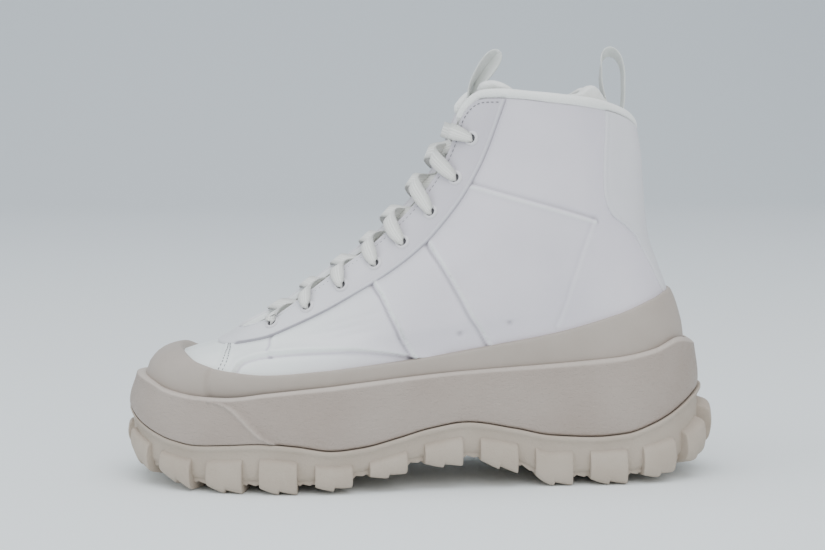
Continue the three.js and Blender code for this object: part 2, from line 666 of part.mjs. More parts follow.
// The rolled edge of the collar, from one side of the throat round the heel to the other. Its two ends turn
// round the front corners and run down the throat's edge. It lies on the wall's edge, square to it.
function collarBinding() {
  const radius = BINDING_DIAMETER / 2;
  const ends = aroundAtHalf(1, throatHalf(1), 1);
  const [steps, sides] = [24, 6];
  const corner = [0, 0.3, 0.55, 0.75, 0.9].map((t) => {
    const level = mix(BINDING_END, 1, t);
    return { level, around: aroundAtHalf(level, throatHalf(level), 1) };
  });
  const collar = loopOf(steps + 1, (i) => ({ level: 1, around: mix(ends, -ends, i / steps) }));
  const far = corner.map(({ level, around }) => ({ level, around: -around })).reverse();
  const edge = [...corner, ...collar, ...far];
  const wall = edge.map(({ level, around }) => skin(around, level, -UPPER_WALL / 2));
  const rings = edge.map(({ level, around }, i) => {
    const along = wall[Math.min(i + 1, wall.length - 1)].clone().sub(wall[Math.max(i - 1, 0)]).normalize();
    const face = lastNormal(around, level);
    const off = face.clone().cross(along).normalize();
    const out = along.clone().cross(off).normalize();
    return loopOf(sides, (j) => {
      const turn = (j / sides) * 2 * Math.PI;
      return wall[i]
        .clone()
        .addScaledVector(out, Math.cos(turn) * radius)
        .addScaledVector(off, radius + GAP + Math.sin(turn) * radius);
    });
  });
  return solid([tip(rings[0]), ...rings, tip(rings.at(-1))]);
}

// Padding behind the ankle, inside the wall. Its two crests beside the heel stand over the collar.
const padCrest = (k) => PAD_CREST * Math.exp(-(((Math.abs(k) - 0.74) / 0.17) ** 2));
function heelPad() {
  const levels = LEVELS.slice(-4);
  const [start] = levels;
  const steps = 7;
  const clear = BINDING_DIAMETER / 2 - UPPER_WALL / 2 + 2 * GAP;
  const rise = (level) => ease((level - start) / (1 - start));
  const depth = (k, level) => PAD_THICKNESS * (0.25 + 0.75 * rise(level)) * Math.sqrt(1 - 0.8 * k * k);
  const wall = (level) => -UPPER_WALL - GAP - clear * ease((level - levels[1]) / (levels[2] - levels[1]));
  return panel(
    (k) => (k * steps * 2) / AROUND,
    2 * steps,
    levels,
    (k, level) => wall(level) - depth(k, level),
    (k, level) => wall(level),
    (k, level) => (padCrest(k) + BINDING_DIAMETER) * ease((level - levels[2]) / (1 - levels[2])),
  );
}

// The tongue lies under the vamp at its lower end and clear of the laces over it further up
const tongueReach = curve(
  [
    { level: 0.42, reach: 0.14 },
    { level: 0.55, reach: 0.2 },
    { level: 0.75, reach: 0.28 },
    { level: 1.05, reach: 0.37 },
  ],
  "level",
  "reach",
);
const laceRoom = LACE_THICKNESS + 8 * GAP;
const tongueTop = 1.035;
const tongueDrop = (around, level) =>
  UPPER_WALL + GAP + laceRoom * ease((level - 0.42) / 0.05) + throatHollow(around, level);
function tongue() {
  const levels = [0.42, 0.45, 0.48, 0.54, 0.63, 0.73, 0.83, 0.92, 1, tongueTop];
  const thin = (k) => TONGUE_THICKNESS * (0.45 + 0.55 * Math.sqrt(1 - k * k));
  return panel(
    overFront(tongueReach),
    10,
    levels,
    (k, level) => -tongueDrop(overFront(tongueReach)(k, level), level) - thin(k),
    (k, level) => -tongueDrop(overFront(tongueReach)(k, level), level),
  ).intersect(form(-UPPER_WALL - GAP));
}

function insole() {
  const side = [-0.5, 0.5].map((share) => {
    const x = share * SHOE_LENGTH;
    return new THREE.Vector2(x, bedAt(x));
  });
  const top = side.toReversed().map((p) => new THREE.Vector2(p.x, p.y + INSOLE));
  const slab = new THREE.ExtrudeGeometry(new THREE.Shape([...side, ...top]), {
    depth: 2 * BALL_WIDTH,
    bevelEnabled: false,
  })
    .rotateX(Math.PI / 2)
    .translate(0, BALL_WIDTH, 0);
  return manifold(slab).intersect(form(-UPPER_WALL - GAP));
}

// A flat band along a path. Each row holds its middle, the direction that the band faces, and its width.
function band(rows, thickness) {
  const rings = rows.map(({ at, face, width }, i) => {
    const before = rows[Math.max(0, i - 1)].at;
    const after = rows[Math.min(rows.length - 1, i + 1)].at;
    const along = after.clone().sub(before).normalize();
    const across = along.clone().cross(face).normalize();
    const out = across.clone().cross(along).normalize();
    return [
      [1, 1],
      [-1, 1],
      [-1, -1],
      [1, -1],
    ].map(([a, b]) => {
      const corner = at.clone().addScaledVector(across, (a * width) / 2);
      return corner.addScaledVector(out, (b * thickness) / 2);
    });
  });
  return solid([tip(rings[0]), ...rings, tip(rings.at(-1))]);
}

// A lace between two rows: it leaves an eyelet on the side given, passes over the edge of the throat, and
// goes under the other side to that eyelet from below. A bar joins two eyelets of one row.
const overEyelet = OVERLAY + EYELET_THICKNESS + LACE_THICKNESS / 2 + 5 * GAP;
const underWall = -UPPER_WALL - LACE_THICKNESS / 2 - 2 * GAP;
const CROSSING = [
  { t: 0, margin: overEyelet, width: 0.6, puff: 0 },
  { t: 0.09, margin: overEyelet + 0.2, width: 0.95, puff: 0.1 },
  { t: 0.17, margin: overEyelet, width: 1, puff: 0.5 },
  { t: 0.26, margin: overEyelet - 0.5, width: 1, puff: 1 },
  { t: 0.38, margin: 1.8, width: 1, puff: 0.8 },
  { t: 0.5, margin: 0.2, width: 1, puff: 0.3 },
  { t: 0.7, margin: underWall + 0.6, width: 1, puff: 0 },
  { t: 0.85, margin: underWall, width: 0.95, puff: 0 },
  { t: 1, margin: underWall, width: 0.6, puff: 0 },
];
const TOP_BAR = [0, 0.09, 0.18, 0.3, 0.5, 0.7, 0.82, 0.91, 1].map((t) => ({
  t,
  margin: mix(overEyelet, -1.5, Math.sin(Math.PI * t) ** 4),
  width: 0.6 + 0.4 * Math.min(1, 4 * Math.sin(Math.PI * t)),
  puff: 0,
}));
const FOOT_BAR = [0, 0.25, 0.5, 0.75, 1].map((t) => ({ t, margin: underWall - GAP, width: 0.8, puff: 0 }));
// A lace lies square across the throat, so at the shoe's middle line it has climbed to a higher level than
// the eyelets beside it
function levelSquareAbove(level) {
  const at = (value) => skin(aroundAtHalf(value, eyeletHalf(value), 1), value, 0).setY(0);
  const along = at(level + 0.01).sub(at(level - 0.01)).normalize();
  let [low, high] = [level, level + 0.2];
  for (let i = 0; i < 20; i++) {
    const middle = (low + high) / 2;
    if (lastPoint(1, middle).setY(0).sub(at(level)).dot(along) < 0) low = middle;
    else high = middle;
  }
  return low;
}
function laceRun(side, fromRow, toRow, route) {
  const from = LACE_ROWS[fromRow].level;
  const to = LACE_ROWS[toRow].level;
  const crest = levelSquareAbove((from + to) / 2);
  const slack = LACE_PUFF * ease((from - LACE_ROWS[2].level) / (LACE_ROWS[5].level - LACE_ROWS[2].level));
  const rows = route.map(({ t, margin, width, puff }) => {
    const offset = side * eyeletHalf(mix(from, to, t)) * (1 - 2 * t);
    const level = mix(from, to, t) + 4 * t * (1 - t) * (crest - (from + to) / 2);
    const around = aroundAtHalf(level, Math.abs(offset), offset < 0 ? -1 : 1);
    const over = margin + puff * slack - throatHollow(around, level);
    return { at: skin(around, level, over), face: lastNormal(around, level), width: width * LACE_WIDTH };
  });
  return band(rows, LACE_THICKNESS);
}

// The short stretch of lace, folded narrow, that passes through an eyelet
const laceLink = ({ around, level, normal }) =>
  manifold(
    new THREE.BoxGeometry(LACE_FOLDED, overEyelet - underWall, LACE_THICKNESS)
      .applyQuaternion(new THREE.Quaternion().setFromUnitVectors(new THREE.Vector3(0, 1, 0), normal))
      .translate(...skin(around, level, (overEyelet + underWall) / 2).toArray()),
  );

// The whole lace: a bar under the foot of the throat, a crossing for each pair of rows, and a bar over the
// top row
function lace() {
  const topRow = LACE_ROWS.length - 1;
  const crossings = loopOf(topRow, (row) => [1, -1].map((side) => laceRun(side, row, row + 1, CROSSING)));
  const bars = [laceRun(1, 0, 0, FOOT_BAR), laceRun(1, topRow, topRow, TOP_BAR)];
  const links = eyelets.map(laceLink);
  return [...bars, ...crossings.flat(), ...links].reduce((whole, piece) => whole.add(piece));
}

// A loop of ribbon in the plane of the shoe's length. Each row is a point of the loop: back and up in
// shares of its size.
function ribbonLoop(rows, base, size, lean) {
  const line = rows.map(({ back, up }) => {
    const p = new THREE.Vector3(-back * size.x, 0, up * size.z);
    return p.applyAxisAngle(new THREE.Vector3(0, 1, 0), lean).add(base);
  });
  const path = new THREE.CatmullRomCurve3(line);
  const steps = 16;
  const points = loopOf(steps + 1, (i) => path.getPoint(i / steps));
  return band(
    points.map((at, i) => {
      const along = path.getTangent(i / steps);
      return { at, face: along.cross(new THREE.Vector3(0, 1, 0)), width: LOOP_WIDTH };
    }),
    LOOP_THICKNESS,
  );
}

function tongueLoop() {
  const crest = skin(1, tongueTop, -tongueDrop(1, tongueTop) - TONGUE_THICKNESS / 2);
  const rows = [
    { back: 0.0, up: 0 },
    { back: -0.16, up: 0.3 },
    { back: -0.05, up: 0.65 },
    { back: 0.2, up: 0.93 },
    { back: 0.42, up: 1.0 },
    { back: 0.5, up: 0.86 },
    { back: 0.42, up: 0.6 },
    { back: 0.26, up: 0.3 },
    { back: 0.22, up: 0 },
  ];
  const size = new THREE.Vector3(TONGUE_LOOP_LENGTH * 0.45, 0, TONGUE_LOOP_LENGTH);
  const base = crest.add(new THREE.Vector3(TONGUE_THICKNESS, 0, LOOP_THICKNESS + 8 * GAP));
  return ribbonLoop(rows, base, size, -0.42);
}

function heelLoop() {
  const inside = -UPPER_WALL - GAP - PAD_THICKNESS * 0.7;
  const seat = skin(0, 1, inside);
  const rows = [
    { back: -0.3, up: 0 },
    { back: -0.62, up: 0.3 },
    { back: -0.85, up: 0.62 },
    { back: -0.8, up: 0.88 },
    { back: -0.5, up: 1.0 },
    { back: -0.08, up: 0.93 },
    { back: 0.18, up: 0.7 },
    { back: 0.2, up: 0.4 },
    { back: 0.05, up: 0 },
  ];
  const base = seat.add(new THREE.Vector3(0, 0, BINDING_DIAMETER + padCrest(0.1) + 12 * GAP));
  return ribbonLoop(rows, base, new THREE.Vector3(HEEL_LOOP_SPREAD, 0, HEEL_LOOP_HEIGHT), 0);
}

function eyeletRing({ around, level, normal }) {
  const low = GAP * 3 + OVERLAY;
  const profile = [
    [EYELET_BORE / 2, 0],
    [EYELET_FLANGE / 2, 0],
    [(EYELET_BORE + EYELET_FLANGE) / 4, EYELET_THICKNESS],
    [EYELET_BORE / 2, 0],
  ].map(([x, y]) => new THREE.Vector2(x, y));
  return manifold(
    new THREE.LatheGeometry(profile, 8)
      .translate(0, low, 0)
      .applyQuaternion(new THREE.Quaternion().setFromUnitVectors(new THREE.Vector3(0, 1, 0), normal))
      .translate(...lastPoint(around, level).toArray()),
  );
}

const finish = (color, roughness) =>
  new THREE.MeshStandardMaterial({ color, roughness, metalness: 0 });
const looks = {
  outsoleRubber: finish("#b4ad9f", 0.75),
  midsoleFoam: finish("#aaa59e", 0.8),
  foxingRubber: finish("#a8a298", 0.7),
  leather: finish("#eceaec", 0.55),
  lining: finish("#e9eae6", 0.9),
  lace: finish("#ecebe4", 0.9),
  webbing: finish("#dfe3dc", 0.85),
  eyelet: finish("#e2e1e0", 0.5),
};

const shoe = new THREE.Group();
function add(name, made, look) {
  const { numProp, vertProperties, triVerts } = made.getMesh();
  const geometry = new THREE.BufferGeometry()
    .setAttribute("position", new THREE.BufferAttribute(Float32Array.from(vertProperties), numProp))
    .setIndex(new THREE.BufferAttribute(Uint32Array.from(triVerts), 1));
  geometry.computeVertexNormals();
  const mesh = new THREE.Mesh(geometry, look);
  mesh.name = name;
  shoe.add(mesh);
}

add("outsole", outsole(), looks.outsoleRubber);
add("midsole", midsole(), looks.midsoleFoam);
add("foxing", foxing(), looks.foxingRubber);
add("upper", upper(), looks.leather);
add("eyestay", eyestay(), looks.leather);
add("heel_tab", heelTab(), looks.leather);
add("collar_binding", collarBinding(), looks.lining);
add("heel_pad", heelPad(), looks.lining);
add("tongue", tongue(), looks.lining);
add("insole", insole(), looks.lining);
add("tongue_loop", tongueLoop(), looks.webbing);
add("heel_loop", heelLoop(), looks.webbing);
eyelets.forEach((eyelet) =>
  add(`eyelet_${eyelet.side > 0 ? "outer" : "inner"}_${eyelet.row + 1}`, eyeletRing(eyelet), looks.eyelet),
);
add("lace", lace(), looks.lace);

// The widest points of the sole are brought to the same distance on both sides of the origin
const width = new THREE.Box3().setFromObject(shoe.getObjectByName("outsole"));
shoe.position.y = -(width.min.y + width.max.y) / 2;

export default shoe;
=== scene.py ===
"""A pale left mid-top sneaker on a thick lugged platform sole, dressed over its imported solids.

Lengths are in millimetres, in the part's own frame: +X to the toe, +Y to the outer side, +Z up. A mesh is
scaled to metres when it is made. A place on the shoe is given as on the solids, by around (-1 at the toe,
along the inner side to 0 at the heel, and along the outer side to 1 at the toe) and level (0 at the footbed,
1 at the collar), with a margin outwards.
"""

import math

import bmesh
import bpy
import numpy as np
from mathutils import Matrix, Vector


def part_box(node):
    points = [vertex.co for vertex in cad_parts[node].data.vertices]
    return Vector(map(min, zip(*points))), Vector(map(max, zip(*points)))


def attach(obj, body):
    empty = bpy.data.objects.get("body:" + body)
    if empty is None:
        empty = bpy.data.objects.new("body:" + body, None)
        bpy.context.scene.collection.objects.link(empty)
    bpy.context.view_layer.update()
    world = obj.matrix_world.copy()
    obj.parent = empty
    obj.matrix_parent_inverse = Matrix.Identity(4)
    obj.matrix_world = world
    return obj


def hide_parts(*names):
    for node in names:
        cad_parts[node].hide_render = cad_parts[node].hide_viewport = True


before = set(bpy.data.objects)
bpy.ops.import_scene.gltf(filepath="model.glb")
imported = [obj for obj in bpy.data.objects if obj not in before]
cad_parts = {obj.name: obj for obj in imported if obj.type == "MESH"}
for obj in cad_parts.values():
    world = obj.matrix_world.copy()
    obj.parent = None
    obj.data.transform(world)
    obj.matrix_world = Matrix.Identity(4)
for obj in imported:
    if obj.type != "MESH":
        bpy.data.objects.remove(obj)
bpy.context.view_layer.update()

# The last and the walls round it, as in the part
LAST_LENGTH = 263.0
BALL_WIDTH = 88.0
SHAFT_HEIGHT = 137.3
COLLAR_CROWN = 9.5
HEEL_BED = 48.5
TOE_BED = 40.0
TOE_SWING = 6.0
GAP = 0.3
UPPER_WALL = 2.4
FOXING_WALL = 3.0
FOXING_HEIGHT = 44.5
BUMPER_BULGE = 0.9
INSOLE = 4.5
RIM_WALL = 3.6
RIM_WALL_TOE = 4.0
RIM_WALL_HEEL = 4.7
RIM_RISE = 20.0
MIDSOLE_FLARE = 2.2
TOE_FLARE = 1.0
TOE_WRAP = 1.4
OUTSOLE_HEIGHT = 46.0
LEDGE = 1.6
LEDGE_HEIGHT = 2.2
WALL_INSET = 1.8
LUG_PROUD = 2.6
LUG_SINK = 1.2
HEEL_LUG_FLARE = 4.4
LUG_DEPTH = 5.5
LUG_RISE = 19.0
LUG_REACH = 21.0
LUG_SHARE = 0.68
LUGS = 26
LUG_PHASE = -0.08
CENTRE_LUGS = 8
THROAT_WIDTH = 40.0
THROAT_TOP_WIDTH = 30.0
COLLAR_CORNER = 9.0
CORNER_SHARE = 0.14
THROAT_START = 0.462
LACE_WIDTH = 8.0
LACE_THICKNESS = 1.0
LACE_PUFF = 4.0
TONGUE_THICKNESS = 4.0
TONGUE_TOP = 1.035
BINDING_DIAMETER = 4.8
BINDING_END = 0.958
PAD_THICKNESS = 8.0
PAD_CREST = 7.0
LOOP_WIDTH = 9.0
LOOP_THICKNESS = 1.1
WIDEST = 0.1

# Side view of the last: level, then the front and back points as shares of its length and of the shaft
PROFILE = np.array(
    [
        (0.0, 0.991, 0.0, 0.01, 0.0),
        (0.1, 1.0, 0.08, 0.0, 0.084),
        (0.2, 0.984, 0.133, 0.003, 0.171),
        (0.3, 0.944, 0.162, 0.013, 0.253),
        (0.4, 0.885, 0.189, 0.027, 0.333),
        (0.5, 0.81, 0.276, 0.046, 0.429),
        (0.6, 0.721, 0.4, 0.063, 0.524),
        (0.7, 0.624, 0.523, 0.07, 0.62),
        (0.8, 0.535, 0.667, 0.074, 0.722),
        (0.9, 0.476, 0.816, 0.078, 0.817),
        (1.0, 0.44, 1.0, 0.086, 0.901),
    ]
)
# Plan of the last: level, half widths at heel, waist and ball, where its round ends lie, and foot shape
PLAN = np.array(
    [
        (0.0, 0.65, 0.66, 0.94, 0.125, 0.7, 1),
        (0.1, 0.71, 0.725, 1.0, 0.125, 0.7, 1),
        (0.2, 0.72, 0.75, 0.985, 0.13, 0.68, 1),
        (0.3, 0.72, 0.775, 0.95, 0.135, 0.65, 0.95),
        (0.4, 0.72, 0.81, 0.905, 0.15, 0.62, 0.85),
        (0.5, 0.725, 0.82, 0.85, 0.17, 0.58, 0.65),
        (0.6, 0.735, 0.81, 0.8, 0.2, 0.53, 0.45),
        (0.7, 0.72, 0.8, 0.755, 0.25, 0.48, 0.3),
        (0.8, 0.685, 0.795, 0.74, 0.3, 0.46, 0.15),
        (0.9, 0.66, 0.785, 0.74, 0.36, 0.47, 0.05),
        (1.0, 0.64, 0.795, 0.755, 0.42, 0.5, 0),
    ]
)
# Outsole: reach from heel to toe, its upper edge and the foot of its lugs, as shares of its height
OUTSOLE_LINES = np.array(
    [
        (0.0, 0.98, 0.44),
        (0.015, 0.99, 0.31),
        (0.03, 0.965, 0.23),
        (0.05, 0.905, 0.17),
        (0.075, 0.81, 0.125),
        (0.1, 0.72, 0.085),
        (0.13, 0.635, 0.045),
        (0.175, 0.543, 0.005),
        (0.225, 0.517, 0),
        (0.3, 0.543, 0),
        (0.36, 0.622, 0.15),
        (0.44, 0.702, 0.24),
        (0.5, 0.648, 0.22),
        (0.555, 0.556, 0.16),
        (0.61, 0.475, 0.09),
        (0.66, 0.448, 0.03),
        (0.72, 0.5, 0),
        (0.777, 0.528, 0),
        (0.83, 0.508, 0),
        (0.88, 0.49, 0.005),
        (0.92, 0.528, 0.085),
        (0.95, 0.597, 0.13),
        (0.975, 0.69, 0.2),
        (0.99, 0.79, 0.28),
        (1.0, 0.84, 0.37),
    ]
)
# Midsole rim and foxing top over the footbed: reach, rim and foxing as shares of their heights at the heel
RIM_LINES = np.array(
    [
        (0.04, 0.88, 1.0),
        (0.08, 1.07, 1.0),
        (0.125, 0.87, 0.93),
        (0.19, 0.72, 0.79),
        (0.29, 0.645, 0.63),
        (0.4, 0.595, 0.525),
        (0.5, 0.54, 0.44),
        (0.68, 0.38, 0.345),
        (0.76, 0.29, 0.32),
        (0.83, 0.19, 0.36),
        (0.875, 0.22, 0.425),
        (0.905, 0.285, 0.5),
        (0.93, 0.375, 0.52),
        (0.95, 0.52, 0.52),
        (0.985, 0.7, 0.52),
    ]
)
# Eyestay seam: level, and how far back of the front point, as a share of the section
EYESTAY_SEAM = np.array(
    [
        (0.4, 0.03),
        (0.416, 0.062),
        (0.43, 0.088),
        (0.457, 0.112),
        (0.5, 0.15),
        (0.55, 0.187),
        (0.6, 0.226),
        (0.65, 0.248),
        (0.7, 0.256),
        (0.8, 0.252),
        (0.9, 0.246),
        (1.0, 0.262),
    ]
)
# Heel tab: level and half width as a share of the way round
HEEL_TAB = np.array(
    [
        (0.38, 0.082),
        (0.5, 0.107),
        (0.6, 0.143),
        (0.66, 0.2),
        (0.7, 0.25),
        (0.78, 0.292),
        (0.9, 0.31),
        (1.0, 0.308),
    ]
)
# Edge of the front wrap: reach along the sole, and height from the midsole's foot to its rim
WRAP_EDGE = np.array(
    [
        (0.7, -0.3),
        (0.755, 0.03),
        (0.767, 0.1),
        (0.783, 0.3),
        (0.799, 0.535),
        (0.815, 0.75),
        (0.839, 0.92),
        (0.9, 1.02),
    ]
)
# Rows of eyelets: level, and distance from the middle line as a share of the half ball width
LACE_ROWS = np.array(
    [
        (0.482, 0.511),
        (0.529, 0.595),
        (0.583, 0.616),
        (0.638, 0.618),
        (0.691, 0.6),
        (0.759, 0.568),
        (0.834, 0.55),
        (0.921, 0.525),
    ]
)
# Tongue: level and half width as a share of the way round from the front
TONGUE_REACH = np.array([(0.42, 0.14), (0.55, 0.2), (0.75, 0.28), (1.05, 0.37)])

# Welded lines across the quarters, each a path of (level, around): the upper's panels meet there
PANEL_LINES = {
    "shaft": [(0.808, 0.659), (0.782, 0.568), (0.754, 0.48), (0.723, 0.395), (0.681, 0.295)],
    "heel": [(0.681, 0.295), (0.618, 0.301), (0.544, 0.31), (0.455, 0.323), (0.297, 0.337)],
    "waist": [(0.585, 0.695), (0.537, 0.647), (0.48, 0.608), (0.402, 0.57), (0.221, 0.523), (0.171, 0.514)],
    "arch": [(0.681, 0.655), (0.619, 0.586), (0.547, 0.53), (0.466, 0.489), (0.36, 0.454), (0.183, 0.418)],
    "side": [(0.12, 0.756), (0.229, 0.758), (0.29, 0.742), (0.308, 0.685), (0.29, 0.618), (0.156, 0.484)],
    "vamp": [(0.425, 0.79), (0.385, 0.765), (0.302, 0.729)],
}
# Height of each line's ridge, and how much higher the panel behind it stands
PANEL_RELIEF = {
    "shaft": (1.1, -0.5),
    "heel": (0.35, 0.3),
    "waist": (1.6, 0.6),
    "arch": (1.5, 0.6),
    "side": (1.1, 2.2),
    "vamp": (0.6, 0.35),
}
# How dark the painted shade is in the groove beside each line
GROOVE_SHADE = {"shaft": 0.4, "heel": 0.15, "waist": 0.55, "arch": 0.5, "side": 0.25, "vamp": 0.3}
# The seam across the vamp at the throat's foot, a path of (level, around)
VAMP_SEAM = [(0.419, 0.916), (0.363, 0.852), (0.279, 0.803), (0.206, 0.782), (0.1, 0.777)]
# Soft folds: start and end as (level, around), depth (a ridge when negative) and half width
CREASES = [
    ((0.46, 0.60), (0.3, 0.68), 0.5, 6.0),
    ((0.42, 0.72), (0.33, 0.64), 0.35, 4.5),
    ((0.36, 0.70), (0.33, 0.60), -0.3, 4.0),
    ((0.57, 0.50), (0.36, 0.50), 0.45, 9.0),
    ((0.78, 0.55), (0.86, 0.40), 0.5, 10.0),
    ((0.92, 0.60), (0.88, 0.36), -0.4, 8.0),
    ((0.62, 0.20), (0.72, 0.30), 0.5, 7.0),
    ((0.50, 0.36), (0.40, 0.24), -0.4, 9.0),
    ((0.30, 0.86), (0.24, 0.80), 0.3, 6.0),
    ((0.66, 0.60), (0.55, 0.55), -0.35, 8.0),
    ((0.475, 0.665), (0.45, 0.715), 0.4, 1.6),
    ((0.455, 0.63), (0.43, 0.69), 0.35, 1.5),
    ((0.44, 0.66), (0.425, 0.74), 0.35, 1.6),
    ((0.49, 0.63), (0.47, 0.66), 0.3, 1.5),
    ((0.42, 0.61), (0.40, 0.66), 0.3, 1.4),
]
# Small dents pressed into the leather: level and around
DENTS = [(0.311, 0.472), (0.348, 0.41), (0.852, 0.701)]


def curve(table, column=1):
    """A smooth curve through a table's column over its first column, straight beyond its ends: cubic pieces
    whose slopes are the harmonic means of their neighbours', so that no hump comes in."""
    x, y = table[:, 0], table[:, column]
    steps = np.diff(y) / np.diff(x)
    slope = np.concatenate([steps[:1], np.zeros(len(x) - 2), steps[-1:]])
    same = steps[:-1] * steps[1:] > 0
    pair = np.where(same, steps[:-1] + steps[1:], 1.0)
    slope[1:-1] = np.where(same, 2 * steps[:-1] * steps[1:] / pair, 0.0)

    def at(value):
        value = np.asarray(value, float)
        i = np.clip(np.searchsorted(x, value, side="right") - 1, 0, len(x) - 2)
        h = x[i + 1] - x[i]
        t = np.clip((value - x[i]) / h, 0, 1)
        inside = (
            y[i] * (1 + 2 * t) * (1 - t) ** 2
            + slope[i] * h * t * (1 - t) ** 2
            + y[i + 1] * t * t * (3 - 2 * t)
            + slope[i + 1] * h * t * t * (t - 1)
        )
        return inside + np.minimum(value - x[0], 0) * slope[0] + np.maximum(value - x[-1], 0) * slope[-1]

    return at


def ease(t):
    """From 0 to 1 with level ends: 3t^2 - 2t^3, held outside that range."""
    t = np.clip(t, 0, 1)
    return t * t * (3 - 2 * t)


def mix(a, b, t):
    return a + (b - a) * t


front_along, front_up, back_along, back_up = [curve(PROFILE, k) for k in (1, 2, 3, 4)]
plan_heel, plan_waist, plan_ball, plan_back, plan_front, plan_foot = [curve(PLAN, k) for k in range(1, 7)]
edge_line, foot_line = curve(OUTSOLE_LINES, 1), curve(OUTSOLE_LINES, 2)
rim_line, foxing_line = curve(RIM_LINES, 1), curve(RIM_LINES, 2)
eyestay_seam, heel_tab_edge, eyelet_off = curve(EYESTAY_SEAM), curve(HEEL_TAB), curve(LACE_ROWS)
tongue_reach = curve(TONGUE_REACH)

CUP = FOXING_WALL + 2 * GAP
RIM = np.array([CUP + RIM_WALL_HEEL, CUP + RIM_WALL, CUP + BUMPER_BULGE + RIM_WALL_TOE])
MIDSOLE = RIM + MIDSOLE_FLARE + np.array([0, 0, TOE_FLARE])
LIP = MIDSOLE + LEDGE
WALL = LIP - WALL_INSET
LUG = LIP + LUG_PROUD + np.array([HEEL_LUG_FLARE, 0, 0])
SHOE_LENGTH = LAST_LENGTH + LUG[0] + LUG[2]
# The heel's pull loop is even about the shoe's middle line, so its box says where that line lies
loop_low, loop_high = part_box("heel_loop")
MIDDLE = (loop_low.y + loop_high.y) * 500


def x_at(along):
    return along * LAST_LENGTH + LUG[0] - SHOE_LENGTH / 2


def reach_at(x):
    return np.clip(x / SHOE_LENGTH + 0.5, 0, 1)


def bed_at(x):
    return mix(HEEL_BED, TOE_BED, (x - x_at(0)) / LAST_LENGTH)


def edge_at(x):
    return edge_line(reach_at(x)) * OUTSOLE_HEIGHT


def foot_at(x):
    return np.maximum(0, foot_line(reach_at(x))) * OUTSOLE_HEIGHT


def rim_at(x):
    return bed_at(x) + rim_line(reach_at(x)) * RIM_RISE


def foxing_top_at(x):
    return bed_at(x) + foxing_line(reach_at(x)) * FOXING_HEIGHT


def half_width(share, level, side):
    """Half width of a section: a smooth curve through heel, waist and ball, times a circle's arc at the
    back and a blunter one at the front."""
    foot = plan_foot(level)
    ball_at = 0.715 - 0.035 * side * foot
    heel, waist, ball = plan_heel(level), plan_waist(level) * (1 + 0.06 * side * foot), plan_ball(level)
    at = np.clip(share, 0.12, ball_at)
    first, second = (waist - heel) / 0.31, (ball - waist) / (ball_at - 0.43)
    same = first * second > 0
    middle = np.where(same, 2 * first * second / np.where(same, first + second, 1), 0)
    front_part = at >= 0.43
    h = np.where(front_part, ball_at - 0.43, 0.31)
    t = (at - np.where(front_part, 0.43, 0.12)) / h
    low, high = np.where(front_part, waist, heel), np.where(front_part, ball, waist)
    slope_low, slope_high = np.where(front_part, middle, first), np.where(front_part, second, middle)
    width = (
        low * (1 + 2 * t) * (1 - t) ** 2
        + slope_low * h * t * (1 - t) ** 2
        + high * t * t * (3 - 2 * t)
        + slope_high * h * t * t * (t - 1)
    )
    back = np.clip(1 - share / plan_back(level), 0, 1)
    front = np.clip((share - plan_front(level)) / (1 - plan_front(level)), 0, 1)
    blunt = 2 + 0.35 * foot
    return width * BALL_WIDTH / 2 * np.sqrt(1 - back**2) * np.maximum(1 - front**blunt, 0) ** (1 / blunt)


def last_point(around, level):
    """A point on the last: a closed outline on its level's slanted plane, arched up at the collar."""
    around, level = np.broadcast_arrays(np.asarray(around, float), np.asarray(level, float))
    side = np.where(around < 0, -1.0, 1.0)
    share = (1 - np.cos(np.pi * np.abs(around))) / 2
    front_x, back_x = x_at(front_along(level)), x_at(back_along(level))
    front_z = bed_at(front_x) + front_up(level) * SHAFT_HEIGHT
    back_z = bed_at(back_x) + back_up(level) * SHAFT_HEIGHT
    crown = COLLAR_CROWN * ease((level - 0.55) / 0.45) * (1 - np.abs(2 * share - 1) ** 4) ** 0.7
    swing = -TOE_SWING * plan_foot(level) * np.clip((share - 0.5) / 0.5, 0, 1) ** 2
    y = swing + side * half_width(share, level, side) + MIDDLE
    return np.stack([mix(back_x, front_x, share), y, mix(back_z, front_z, share) + crown], -1)


def last_normal(around, level):
    """The outward direction, square to two short steps along the surface."""
    around, level = np.broadcast_arrays(np.asarray(around, float), np.asarray(level, float))
    step = 0.004

    def turned(a):
        return np.where(a > 1, a - 2, np.where(a < -1, a + 2, a))

    along = last_point(turned(around + step), level) - last_point(turned(around - step), level)
    up = last_point(around, level + step) - last_point(around, level - step)
    return -unit(np.cross(along, up))


def unit(v):
    return v / np.maximum(np.linalg.norm(v, axis=-1, keepdims=True), 1e-12)


def skin(around, level, margin):
    return last_point(around, level) + last_normal(around, level) * np.asarray(margin, float)[..., None]


def level_at(around, height_at):
    """The level where the last reaches a height, itself a function of x, by halving."""
    low, high = np.zeros_like(around), np.ones_like(around)
    for _ in range(26):
        middle = (low + high) / 2
        place = last_point(around, middle)
        below = place[..., 2] < height_at(place[..., 0])
        low, high = np.where(below, middle, low), np.where(below, high, middle)
    return low


def sole_point(around, margin):
    """The sole's outline in plan: the widest section moved out by margin (heel, side, toe), the ends coming
    in with the square of how far the outline faces back or forwards."""
    normal = last_normal(around, WIDEST)
    flat = unit(normal * np.array([1, 1, 0]))
    heel, side, toe = [np.asarray(margin[k], float) for k in range(3)]
    by = side + (np.where(flat[..., 0] < 0, heel, toe) - side) * flat[..., 0] ** 2
    return last_point(around, WIDEST) + flat * by[..., None]


def throat_side(level):
    """Half the gap between the eyelet rows, narrowing evenly upwards."""
    t = (level - THROAT_START) / (1 - THROAT_START)
    return mix(THROAT_WIDTH, THROAT_TOP_WIDTH, np.clip(t, 0, 1)) / 2


